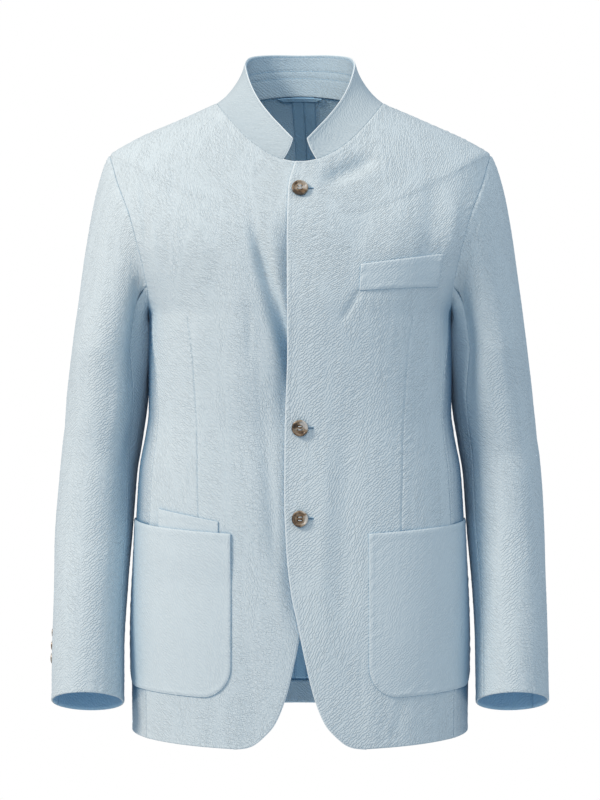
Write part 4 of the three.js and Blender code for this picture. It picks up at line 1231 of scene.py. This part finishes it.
def button_mesh(radius, thick, spokes, rings):
    """Height over the back: thick at the rim, lower in the dish, and 0 at the round edge. Each
    hole goes down by its depth inside its radius."""
    face, rim, wall, under = rings + rings // 2, 10, 4, 8
    bend = np.radians(np.linspace(0, 90, rim))
    share = np.concatenate([
        np.linspace(0.02, 0.48, rings), np.linspace(0.5, 0.86, rings // 2),
        1 - 0.14 * (1 - np.sin(bend)), np.ones(wall), np.linspace(0.97, 0.05, under),
    ])
    s = share[:face]
    dish = thick * (0.72 + 0.28 * smooth_step(0.66, 0.8, s))
    fall = thick - 0.3 * thick * (1 - np.cos(bend))
    down = np.linspace(0.62, 0.12, wall) * thick
    z = np.concatenate([dish, fall, down, np.zeros(under)])
    turn = np.arange(spokes) * 2 * math.pi / spokes
    x, y = radius * share[:, None] * np.cos(turn), radius * share[:, None] * np.sin(turn)
    z = z[:, None] + 0 * x
    scale = radius / FRONT_BUTTONS["radius"]
    reach = np.hypot(np.abs(x) - HOLE_AT * scale, np.abs(y) - HOLE_AT * scale)[:face]
    depth = HOLE_DEPTH * thick / FRONT_BUTTONS["thick"]
    z[:face] -= depth * (1 - smooth_step(0.8, 1.1, reach / (HOLE_RADIUS * scale)))
    middles = [[0, 0, z[0].mean()], [0, 0, 0]]
    points = np.vstack([np.stack([x, y, z], axis=-1).reshape(-1, 3), middles])
    ids = np.arange(x.size).reshape(x.shape)
    after = np.roll(ids, -1, axis=1)
    quads = np.stack([ids[:-1], ids[1:], after[1:], after[:-1]], axis=-1).reshape(-1, 4)
    top = np.stack([ids[0], after[0], np.full(spokes, x.size)], axis=-1)
    bottom = np.stack([after[-1], ids[-1], np.full(spokes, x.size + 1)], axis=-1)
    return points, [quads, top, bottom]


def button_turn(outward):
    """Turning that lays a button's face to outward and keeps one row of holes level."""
    across = np.cross(UPRIGHT, outward)
    across = across / np.linalg.norm(across)
    return np.stack([across, np.cross(outward, across), outward])


def put_button(node, sizes, point, outward):
    """A button in the place of its solid, BUTTON_GAP over the cloth."""
    points, faces = button_mesh(**sizes)
    placed = points @ button_turn(outward) + point + outward * BUTTON_GAP
    name = f"{node}_horn"
    obj = bpy.data.objects.new(name, write_mesh(name, placed, faces, points[:, :2]))
    bpy.context.scene.collection.objects.link(obj)
    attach(obj, "root")
    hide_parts(node)
    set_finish(obj, "horn")


button_places = {}
for number, height in enumerate(BUTTON_HEIGHTS, 1):
    point, normal = on_body(*place_on_front(np.array(0.0), np.array(float(height))), "left")
    button_places[f"front_button_{number}"] = (point + normal * BUTTON_GAP, normal)
    put_button(f"front_button_{number}", FRONT_BUTTONS, point, normal)
for side, sign in SIDES.items():
    for number, place in enumerate(CUFF_PLACES, 1):
        angle = float(SLEEVE_SEAMS[f"back_{side}"](place)) - 360 + FROM_CUFF_SEAM
        angles = angle + np.array([[-0.5, 0.5]] * 2)
        grid = mirrored(plain_sleeve(angles, place + np.array([[-0.01] * 2, [0.01] * 2])), sign)
        point, normal = grid.mean(axis=(0, 1)), grid_normals(grid).mean(axis=(0, 1))
        middle = [OVAL["x"](place - 1) * sign, OVAL["y"](place - 1), OVAL["z"](place - 1)]
        normal = normal * np.sign(normal @ (point - middle))
        put_button(f"cuff_button_{side}_{number}", CUFF_BUTTONS, point, normal)

# %% [markdown]
# ## Sewing
# A stitch is a short rod with pointed ends that lies on the cloth. Rows of them run along the
# edges and the pockets. A turned edge stands up as a thin roll where the cloth bends round its
# own thickness, and that roll catches the light; it is also painted paler than the cloth, a
# painted highlight. Thread crosses the buttons from hole to hole, and a buttonhole is a slit with
# close stitches on both sides and a near black rod in it, painted shade in the opening.

# %% Rods and rolls
STITCH, GAP = 2.4, 1.3


def add_part(name, points, faces, slot):
    """A part of the sewing, which has no solid of its own."""
    obj = bpy.data.objects.new(name, write_mesh(name, points, faces, np.zeros((len(points), 2))))
    bpy.context.scene.collection.objects.link(obj)
    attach(obj, "root")
    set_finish(obj, "tape" if slot in ("tape_thread", "slit") else "cloth")
    obj["finish"] = slot


def rods(name, starts, ends, ups, radius, slot):
    """One mesh of closed rods: four points round each end and a tip beyond it."""
    run = (ends - starts) / np.linalg.norm(ends - starts, axis=-1, keepdims=True)
    aside = np.cross(run, ups)
    aside = aside / np.linalg.norm(aside, axis=-1, keepdims=True)
    up = np.cross(aside, run)
    ring = [up * radius, aside * radius, -up * radius, -aside * radius]
    rings = [starts + r for r in ring] + [ends + r for r in ring]
    points = [starts - run * radius] + rings + [ends + run * radius]
    first = np.arange(len(starts))[:, None, None] * 10
    here, after = np.arange(4), (np.arange(4) + 1) % 4
    sides = first + np.stack([1 + here, 1 + after, 5 + after, 5 + here], axis=-1)
    low = first + np.stack([1 + after, 1 + here, 0 * here], axis=-1)
    high = first + np.stack([5 + here, 5 + after, 9 + 0 * here], axis=-1)
    faces = [sides.reshape(-1, 4), np.concatenate([low, high]).reshape(-1, 3)]
    add_part(name, np.stack(points, axis=1).reshape(-1, 3), faces, slot)
    return len(starts)


def at_length(line, wanted):
    """Points of a line at wanted distances along it."""
    lengths = run_lengths(line)
    return np.stack([np.interp(wanted, lengths, column) for column in line.T], axis=-1)


def sew(name, lines, slot="thread", radius=0.24):
    """Stitches along lines, given as pairs of places and normals."""
    starts, ends, ups = [], [], []
    for line, normals in lines:
        marks = np.arange(2, run_lengths(line)[-1] - STITCH - 1, STITCH + GAP)
        starts.append(at_length(line, marks))
        ends.append(at_length(line, marks + STITCH))
        whole = np.linspace(0, len(line) - 1, len(marks)).round().astype(int)
        ups.append(normals[whole])
    places = [np.concatenate(group) for group in (starts, ends, ups)]
    return rods(name, *places, radius, slot)


def roll(name, line, ups, radius=0.62, slot="edge", sides=6):
    """A thin closed tube along a line of points."""
    run = np.gradient(line, axis=0)
    run = run / np.linalg.norm(run, axis=-1, keepdims=True)
    aside = np.cross(run, ups)
    aside = aside / np.linalg.norm(aside, axis=-1, keepdims=True)
    up = np.cross(aside, run)
    turn = np.arange(sides) * 2 * math.pi / sides
    ring = up[:, None] * np.cos(turn)[:, None] + aside[:, None] * np.sin(turn)[:, None]
    points = np.vstack([(line[:, None] + radius * ring).reshape(-1, 3), line[:1], line[-1:]])
    ids = np.arange(len(line) * sides).reshape(len(line), sides)
    after = np.roll(ids, -1, axis=1)
    quads = np.stack([ids[:-1], after[:-1], after[1:], ids[1:]], axis=-1).reshape(-1, 4)
    low = np.stack([after[0], ids[0], np.full(sides, ids.size)], axis=-1)
    high = np.stack([ids[-1], after[-1], np.full(sides, ids.size + 1)], axis=-1)
    add_part(name, points, [quads, np.vstack([low, high])], slot)


def part_of(name, rows, columns, lift=0.0):
    """Places and normals on the outer face of a piece, along a row or a column of its grid."""
    points, normals = PIECES[name]["points"][rows, columns], PIECES[name]["normals"][rows, columns]
    return points + normals * lift, normals


def lifted(name, line, lift=0.0):
    """Brings a line that lies on a piece's base up to its outer face."""
    base, outer, normals = (PIECES[name][key].reshape(-1, 3) for key in ("base", "points", "normals"))
    nearest = np.array([((base - point) ** 2).sum(1).argmin() for point in line])
    height = ((outer - base)[nearest] * normals[nearest]).sum(1)
    return line + normals[nearest] * (height + lift)[:, None], normals[nearest]


print("stitches on 100 mm:", round(100 / (STITCH + GAP)))

# %% Rolled edges
SUNK = -0.35
ALL = slice(None)
# The rolls take the pale edge finish, a painted highlight along the turned edges.
for side in SIDES:
    name = f"front_{side}_cloth"
    roll(f"front_{side}_edge", *part_of(name, ALL, 0, SUNK))
    points = PIECES[name]["points"][-1]
    inner = slice(0, int((np.abs(points[:, 0]) < 20).sum()))
    roll(f"front_{side}_top_edge", *part_of(name, -1, inner, SUNK))
roll("collar_top_edge", *part_of("collar_cloth", -1, ALL, -0.3), radius=0.75)
roll("collar_left_end", *part_of("collar_cloth", ALL, 0, SUNK))
roll("collar_right_end", *part_of("collar_cloth", ALL, -1, SUNK))
roll("welt_edge", *part_of("chest_welt_cloth", -1, ALL, SUNK), radius=0.5)

# %% Rows of stitches
IN_SEAM = 0.12
count = 0


def border_rows(name, *places):
    """Rows and columns of a piece as lines for stitches."""
    return [part_of(name, rows, columns, IN_SEAM) for rows, columns in places]


for side in SIDES:
    count += sew(f"front_{side}_stitches", border_rows(f"front_{side}_cloth", (ALL, 4)))
    pocket = f"patch_pocket_{side}_cloth"
    inset = 1.8
    bottom, corner = PATCH["bottom"] + inset, PATCH["corner"] - inset
    path_rows = np.concatenate([
        bottom + corner * (1 - np.cos(np.radians(corner_turn))),
        np.linspace(bottom + corner, PATCH["front_top"] - 3, 60)[1:],
    ])
    low, high = patch_bounds(path_rows, inset)
    edges = [np.interp(path_rows, patch_rows, ends) for ends in (patch_low, patch_high)]
    shares = [(part - edges[0]) / (edges[1] - edges[0]) for part in (low, high)]
    surface = patch_surface(side)
    line = np.vstack([surface(shares[0], path_rows)[::-1], surface(shares[1], path_rows)])
    count += sew(f"patch_pocket_{side}_stitches", [lifted(pocket, line, IN_SEAM)])
facing = "collar_facing_cloth"
base = PIECES[facing]["base"]
middle = base.shape[1] // 2
heights = np.linalg.norm(base[:, middle] - base[0, middle], axis=-1)
rows = [int(np.abs(heights - line - 4).argmin()) for line in QUILT_LINES]
quilting = border_rows(facing, *[(row, ALL) for row in rows + [-4]])
count += sew("collar_facing_stitches", quilting, "tape_thread")
count += sew("collar_stitches", border_rows("collar_cloth", (-4, ALL), (ALL, 3), (ALL, -4)))
count += sew("welt_stitches", border_rows("chest_welt_cloth", (ALL, 2), (ALL, -3)))
for side in SIDES:
    bound = border_rows(f"seam_allowance_{side}_tape", (ALL, 2), (ALL, -3))
    count += sew(f"seam_allowance_{side}_stitches", bound, "tape_thread")
count += sew("hem_stitches", border_rows("hem_back_cloth", (-2, ALL)), "tape_thread")
print("stitches:", count)

# %% Thread and buttonholes
SLIT = {"from": 1.0, "to": 15.5, "step": 0.75, "reach": 1.5, "radius": 0.55}
THREAD_HEIGHT, THREAD_RADIUS, PURL_RADIUS = 2.75, 0.42, 0.22
xs = np.arange(SLIT["from"], SLIT["to"], SLIT["step"])
for number, (place, normal) in enumerate(button_places.values(), 1):
    holes = [[[-HOLE_AT, y, THREAD_HEIGHT], [HOLE_AT, y, THREAD_HEIGHT]] for y in (-HOLE_AT, HOLE_AT)]
    ends = np.array(holes) @ button_turn(normal) + place
    ups = np.array([normal] * 2)
    rods(f"front_button_{number}_thread", ends[:, 0], ends[:, 1], ups, THREAD_RADIUS, "thread")
    z = BUTTON_HEIGHTS[number - 1] + 0 * xs
    folded, outward = on_body(*place_on_front(xs, z), "left")
    unfolded = folded - outward * body_push(folded, "left")[:, None]
    line, normals = lifted("front_left_cloth", unfolded)
    deep = line + normals * 0.1
    # The slit is a near black rod, painted shade in the opening of the buttonhole.
    rods(f"buttonhole_{number}_slit", deep[:1], deep[-1:], normals[:1], SLIT["radius"], "slit")
    inner = [line + normals * 0.15 + UPRIGHT * sign * 0.5 for sign in (1, -1)]
    outer = [deep + UPRIGHT * sign * SLIT["reach"] for sign in (1, -1)]
    places = np.vstack(inner), np.vstack(outer), np.vstack([normals] * 2)
    rods(f"buttonhole_{number}_purl", *places, PURL_RADIUS, "tape_thread")
print("buttonholes:", len(button_places))

# %% [markdown]
# ## Finishes
# The cotton is matt with a little fuzz, and pale blue from a blue and a white thread. Below what
# the mesh can carry, a bump adds fine leaning ridges and the weave. A wave texture gives the
# ridges, and noise shifts each of them sideways, so they stay short. They are read in cloth
# coordinates, so they turn with each piece. Shade is painted into the colour as well: where
# ambient occlusion finds a hollow, the colour goes towards a deeper blue, most of all under the
# arms, and the valleys of the puckers are painted darker and their ridges lighter. The inner
# faces show the reverse of the cloth in a bluer colour, and the facing, the turned-up hem and
# the collar have darker copies of the cloth's colour, all painted shade.

# %% Cloth material
RIDGE_APART, RIDGE_RUNS, RIDGE_SHIFT = 3.0, (8.5, 9.5), 6.0
PUCKER_DEPTH, WEAVE_DEPTH = 0.5, 0.12
FRONT_LEANS, SLEEVE_LEANS = (40, 66), (38, -40)
# Painted shade: where ambient occlusion finds a hollow, the colour is mixed towards a deeper blue,
# less on the sleeves.
OPEN_SKY_SHADE_RANGE, HOLLOW_SHADE_REACH = (0.15, 0.95), 0.10
# Painted shade and light on the puckers: their valleys are painted darker and bluer, their ridges
# lighter.
VALLEY_SHADE_TINT, RIDGE_LIGHT_TINT = (0.955, 0.97, 0.98, 1.0), (1.025, 1.02, 1.015, 1.0)
HOLLOW_SHADE_TINT, SLEEVE_SHADE_TINT = (0.54, 0.74, 0.89), (0.68, 0.82, 0.92)
# Painted shadow under the arms: on the side panels the occlusion reaches further and mixes towards a
# much deeper blue.
UNDER_ARM_SHADE_RANGE, UNDER_ARM_SHADE_REACH, UNDER_ARM_SHADE_TINT = (0.5, 0.85), 0.17, (0.11, 0.29, 0.46)


def turned_place(nodes, links, source, size, lean):
    """Cloth coordinates turned by lean degrees, one unit being size mm along and across."""
    place = nodes.new("ShaderNodeMapping")
    place.vector_type = "TEXTURE"
    place.inputs["Rotation"].default_value = (0, 0, math.radians(lean))
    place.inputs["Scale"].default_value = (size[0] * MM, size[1] * MM, 1)
    links.new(source, place.inputs["Vector"])
    return place.outputs["Vector"]


def stretched_noise(nodes, links, source, size, lean=0.0, detail=0.0):
    """Noise whose patches measure about size mm, leaning by lean degrees."""
    noise = nodes.new("ShaderNodeTexNoise")
    noise.inputs["Scale"].default_value = 1.0
    noise.inputs["Detail"].default_value = detail
    links.new(turned_place(nodes, links, source, size, lean), noise.inputs["Vector"])
    return noise.outputs["Fac"]


def short_ridges(nodes, links, source, apart, run, lean):
    """Ridges apart mm from each other. Noise shifts them sideways, so that each runs on for only
    about run mm. The wave repeats every 2 pi / 20 of its units."""
    wave = nodes.new("ShaderNodeTexWave")
    wave.bands_direction = "Y"
    wave.inputs["Scale"].default_value = 1.0
    wave.inputs["Distortion"].default_value = RIDGE_SHIFT
    wave.inputs["Detail"].default_value = 1.0
    wave.inputs["Detail Scale"].default_value = 2.2
    size = (run, apart * 20 / (2 * math.pi))
    links.new(turned_place(nodes, links, source, size, lean), wave.inputs["Vector"])
    return wave.outputs["Fac"]


def mixed(nodes, links, kind, factor, first, second):
    """A mix node between two sockets or plain values."""
    node = nodes.new("ShaderNodeMix")
    node.data_type = kind
    names = [s for s in node.inputs if s.enabled]
    for socket, value in zip(names, (factor, first, second)):
        if isinstance(value, (tuple, float)):
            socket.default_value = value
        else:
            links.new(value, socket)
    return next(s for s in node.outputs if s.enabled)


def ranged(nodes, links, source, low, high):
    """0 below low and 1 above high."""
    node = nodes.new("ShaderNodeMapRange")
    node.interpolation_type = "SMOOTHSTEP"
    node.inputs["From Min"].default_value, node.inputs["From Max"].default_value = low, high
    links.new(source, node.inputs["Value"])
    return node.outputs["Result"]


def bumped(nodes, links, height, depth, under=None):
    """Normal of a relief of height 0 to 1, depth mm deep, over another normal."""
    bump = nodes.new("ShaderNodeBump")
    bump.inputs["Distance"].default_value = depth * MM
    links.new(height, bump.inputs["Height"])
    if under:
        links.new(under, bump.inputs["Normal"])
    return bump.outputs["Normal"]


def cloth_material(name, colour, relief=1.0, leans=FRONT_LEANS, sky=OPEN_SKY_SHADE_RANGE,
                   reach=HOLLOW_SHADE_REACH, tint=HOLLOW_SHADE_TINT):
    """Leaning puckers and weave as bumps, with painted shade: deeper blue in hollows and pucker
    valleys.
    """
    material = bpy.data.materials.new(name)
    material.use_nodes = True
    nodes, links = material.node_tree.nodes, material.node_tree.links
    shader = nodes["Principled BSDF"]
    shader.inputs["Roughness"].default_value = 0.92
    shader.inputs["Sheen Weight"].default_value = 0.15
    shader.inputs["Specular IOR Level"].default_value = 0.15
    cloth = nodes.new("ShaderNodeUVMap")
    cloth.uv_map = "cloth"
    at = cloth.outputs["UV"]
    rising, falling = (
        short_ridges(nodes, links, at, RIDGE_APART, run, lean)
        for run, lean in zip(RIDGE_RUNS, leans)
    )
    bands = stretched_noise(nodes, links, at, (26, 120))
    turn_over = ranged(nodes, links, bands, 0.48, 0.66)
    puckers = mixed(nodes, links, "FLOAT", turn_over, rising, falling)
    rough = ranged(nodes, links, stretched_noise(nodes, links, at, (13, 17), 30.0, 1.0), 0.3, 0.6)
    softer = mixed(nodes, links, "FLOAT", 0.3, puckers, 0.5)
    puckers = mixed(nodes, links, "FLOAT", rough, softer, puckers)
    weave = stretched_noise(nodes, links, at, (0.5, 0.5), detail=1.0)
    normal = bumped(nodes, links, puckers, PUCKER_DEPTH * relief)
    normal = bumped(nodes, links, weave, WEAVE_DEPTH * relief, normal)
    links.new(normal, shader.inputs["Normal"])
    # Painted shade: ambient occlusion mixes the colour towards a deeper blue in hollows.
    shade_occlusion = nodes.new("ShaderNodeAmbientOcclusion")
    shade_occlusion.samples = 6
    shade_occlusion.inputs["Distance"].default_value = reach
    unshaded_share = ranged(nodes, links, shade_occlusion.outputs["AO"], *sky)
    deep = tuple(c * d for c, d in zip(colour, tint)) + (1.0,)
    shade = mixed(nodes, links, "RGBA", unshaded_share, deep, (*colour, 1.0))
    # Painted shade in the valleys of the puckers and painted light on their ridges.
    pucker_shade_share = ranged(nodes, links, puckers, 0.25, 0.75)
    tinted = nodes.new("ShaderNodeMix")
    tinted.data_type, tinted.blend_type = "RGBA", "MULTIPLY"
    tinted.inputs["Factor"].default_value = 1.0
    links.new(shade, tinted.inputs["A"])
    pucker_shade_tint = mixed(nodes, links, "RGBA", pucker_shade_share, VALLEY_SHADE_TINT, RIDGE_LIGHT_TINT)
    links.new(pucker_shade_tint, tinted.inputs["B"])
    links.new(tinted.outputs["Result"], shader.inputs["Base Color"])
    return material


# The inside colour is a darker, bluer copy of the cloth's colour, painted shade for the facing and
# the turned-up hem.
CLOTH_COLOUR, INSIDE_SHADE_COLOUR = (0.56, 0.66, 0.715), (0.43, 0.565, 0.66)
# The collar's colour is a darker copy of the cloth's colour, painted shade on the collar.
# The colour of the inner faces is a bluer copy of the cloth's colour, painted shade inside the
# jacket.
INNER_FACE_SHADE_COLOUR, COLLAR_SHADE_COLOUR = (0.46, 0.68, 0.84), (0.455, 0.55, 0.605)
# The edge colour is paler than the cloth, a painted highlight along the rolled edges.
TAPE_COLOUR, EDGE_HIGHLIGHT_COLOUR = (0.33, 0.55, 0.73), (0.70, 0.785, 0.83)
# The slit colour is near black, painted shade in the opening of a buttonhole.
THREAD_COLOUR, SLIT_SHADE_COLOUR = (0.60, 0.68, 0.73), (0.06, 0.12, 0.20)
finishes = {
    "cloth": cloth_material("seersucker", CLOTH_COLOUR),
    "cloth_inside": cloth_material("seersucker_inside_shade", INSIDE_SHADE_COLOUR, 0.7),
    # The side panels take the strongest painted shade, a deep blue under the arms.
    "side": cloth_material("seersucker_side_shade", CLOTH_COLOUR, sky=UNDER_ARM_SHADE_RANGE,
                           reach=UNDER_ARM_SHADE_REACH, tint=UNDER_ARM_SHADE_TINT),
    "sleeve": cloth_material("seersucker_sleeve", CLOTH_COLOUR, leans=SLEEVE_LEANS,
                             tint=SLEEVE_SHADE_TINT),
    "sewn_cloth": cloth_material("seersucker_sewn", CLOTH_COLOUR, 0.6),
    "collar": cloth_material("seersucker_collar_shade", COLLAR_SHADE_COLOUR, 0.6),
    "reverse": cloth_material("seersucker_reverse", INNER_FACE_SHADE_COLOUR, 0.7),
    "tape": cloth_material("binding", TAPE_COLOUR, 0.4),
}


def plain_material(name, colour):
    """A matt material of one colour, for thread and rolled edges."""
    material = bpy.data.materials.new(name)
    material.use_nodes = True
    shader = material.node_tree.nodes["Principled BSDF"]
    shader.inputs["Base Color"].default_value = (*colour, 1)
    shader.inputs["Roughness"].default_value = 0.8
    return material


PLAIN_COLOURS = {
    "edge": EDGE_HIGHLIGHT_COLOUR, "thread": THREAD_COLOUR, "tape_thread": TAPE_COLOUR, "slit": SLIT_SHADE_COLOUR,
}
for slot, colour in PLAIN_COLOURS.items():
    finishes[slot] = plain_material(slot, colour)
print("matt finishes:", ", ".join(PLAIN_COLOURS))

# %% Horn material
HORN_SLANT = 11.0
horn = bpy.data.materials.new("horn")
horn.use_nodes = True
h_nodes, h_links = horn.node_tree.nodes, horn.node_tree.links
h_shader = h_nodes["Principled BSDF"]
h_shader.inputs["Roughness"].default_value = 0.25
h_place = h_nodes.new("ShaderNodeTexCoord")
h_noise = h_nodes.new("ShaderNodeTexNoise")
h_noise.inputs["Scale"].default_value = 95
h_noise.inputs["Detail"].default_value = 3
h_noise.inputs["Distortion"].default_value = 0.9
h_links.new(h_place.outputs["Object"], h_noise.inputs["Vector"])
h_ramp = h_nodes.new("ShaderNodeValToRGB")
h_stops = [
    (0.34, (0.06, 0.038, 0.02, 1)), (0.45, (0.17, 0.11, 0.06, 1)),
    (0.54, (0.27, 0.22, 0.16, 1)), (0.66, (0.44, 0.44, 0.42, 1)),
]
h_marks = h_ramp.color_ramp.elements
h_marks[0].position, h_marks[0].color = h_stops[0]
h_marks[1].position, h_marks[1].color = h_stops[-1]
for position, colour in h_stops[1:-1]:
    h_marks.new(position).color = colour
h_face = h_nodes.new("ShaderNodeUVMap")
h_face.uv_map = "cloth"
h_split = h_nodes.new("ShaderNodeSeparateXYZ")
h_links.new(h_face.outputs["UV"], h_split.inputs[0])
h_slant = h_nodes.new("ShaderNodeMath")
h_slant.operation = "ADD"
h_links.new(h_split.outputs["X"], h_slant.inputs[0])
h_links.new(h_split.outputs["Y"], h_slant.inputs[1])
h_sum = h_nodes.new("ShaderNodeMath")
h_sum.operation = "MULTIPLY_ADD"
h_sum.inputs[1].default_value = HORN_SLANT
h_links.new(h_slant.outputs[0], h_sum.inputs[0])
h_links.new(h_noise.outputs["Fac"], h_sum.inputs[2])
h_links.new(h_sum.outputs[0], h_ramp.inputs["Fac"])
h_links.new(h_ramp.outputs["Color"], h_shader.inputs["Base Color"])
finishes["horn"] = horn
print("horn from dark to pale in", len(h_stops), "tones")

# %% Each piece's finish
# The collar takes its darker finish, painted shade on the collar.
PIECE_FINISH = {
    "chest_welt_cloth": "sewn_cloth", "ticket_pocket_cloth": "sewn_cloth",
    "collar_cloth": "collar",
}
for side in SIDES:
    PIECE_FINISH[f"patch_pocket_{side}_cloth"] = "sewn_cloth"
    PIECE_FINISH[f"side_{side}_cloth"] = "side"
    for kind in ("top", "under"):
        PIECE_FINISH[f"{kind}_sleeve_{side}_cloth"] = "sleeve"
for obj in bpy.context.scene.objects:
    if obj.type == "MESH" and obj.get("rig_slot") in finishes and "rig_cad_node" not in obj:
        finish = obj.get("finish", PIECE_FINISH.get(obj.name, obj["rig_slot"]))
        obj.data.materials.append(finishes[finish])
        # Inner faces take the bluer finish, painted shade inside the jacket.
        if obj["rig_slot"] == "cloth" and "finish" not in obj:
            obj.data.materials.append(finishes["reverse"])
print("finishes:", ", ".join(finishes))

# %% Floor
FLOOR_Z, FLOOR_HALF = -1.5, 1.6
floor_mesh = bpy.data.meshes.new("floor")
corners = [(x * FLOOR_HALF, y * FLOOR_HALF, FLOOR_Z) for x, y in ((-1, -1), (1, -1), (1, 1), (-1, 1))]
floor_mesh.from_pydata(corners, [], [(0, 1, 2, 3)])
floor = bpy.data.objects.new("floor", floor_mesh)
bpy.context.scene.collection.objects.link(floor)
floor_paint = bpy.data.materials.new("floor_paint")
floor_paint.use_nodes = True
floor_paint.node_tree.nodes["Principled BSDF"].inputs["Base Color"].default_value = (0.8, 0.8, 0.8, 1)
floor_mesh.materials.append(floor_paint)
print("floor at", FLOOR_Z, "m")

# %% Sizes
import json

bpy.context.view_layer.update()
pieces = [
    o for o in bpy.context.scene.objects
    if o.get("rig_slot") in finishes and "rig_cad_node" not in o
]
triangles = {o.name: len(o.data.loops) - 2 * len(o.data.polygons) for o in pieces}
print("triangles:", sum(triangles.values()), "most on one piece:", max(triangles.values()))
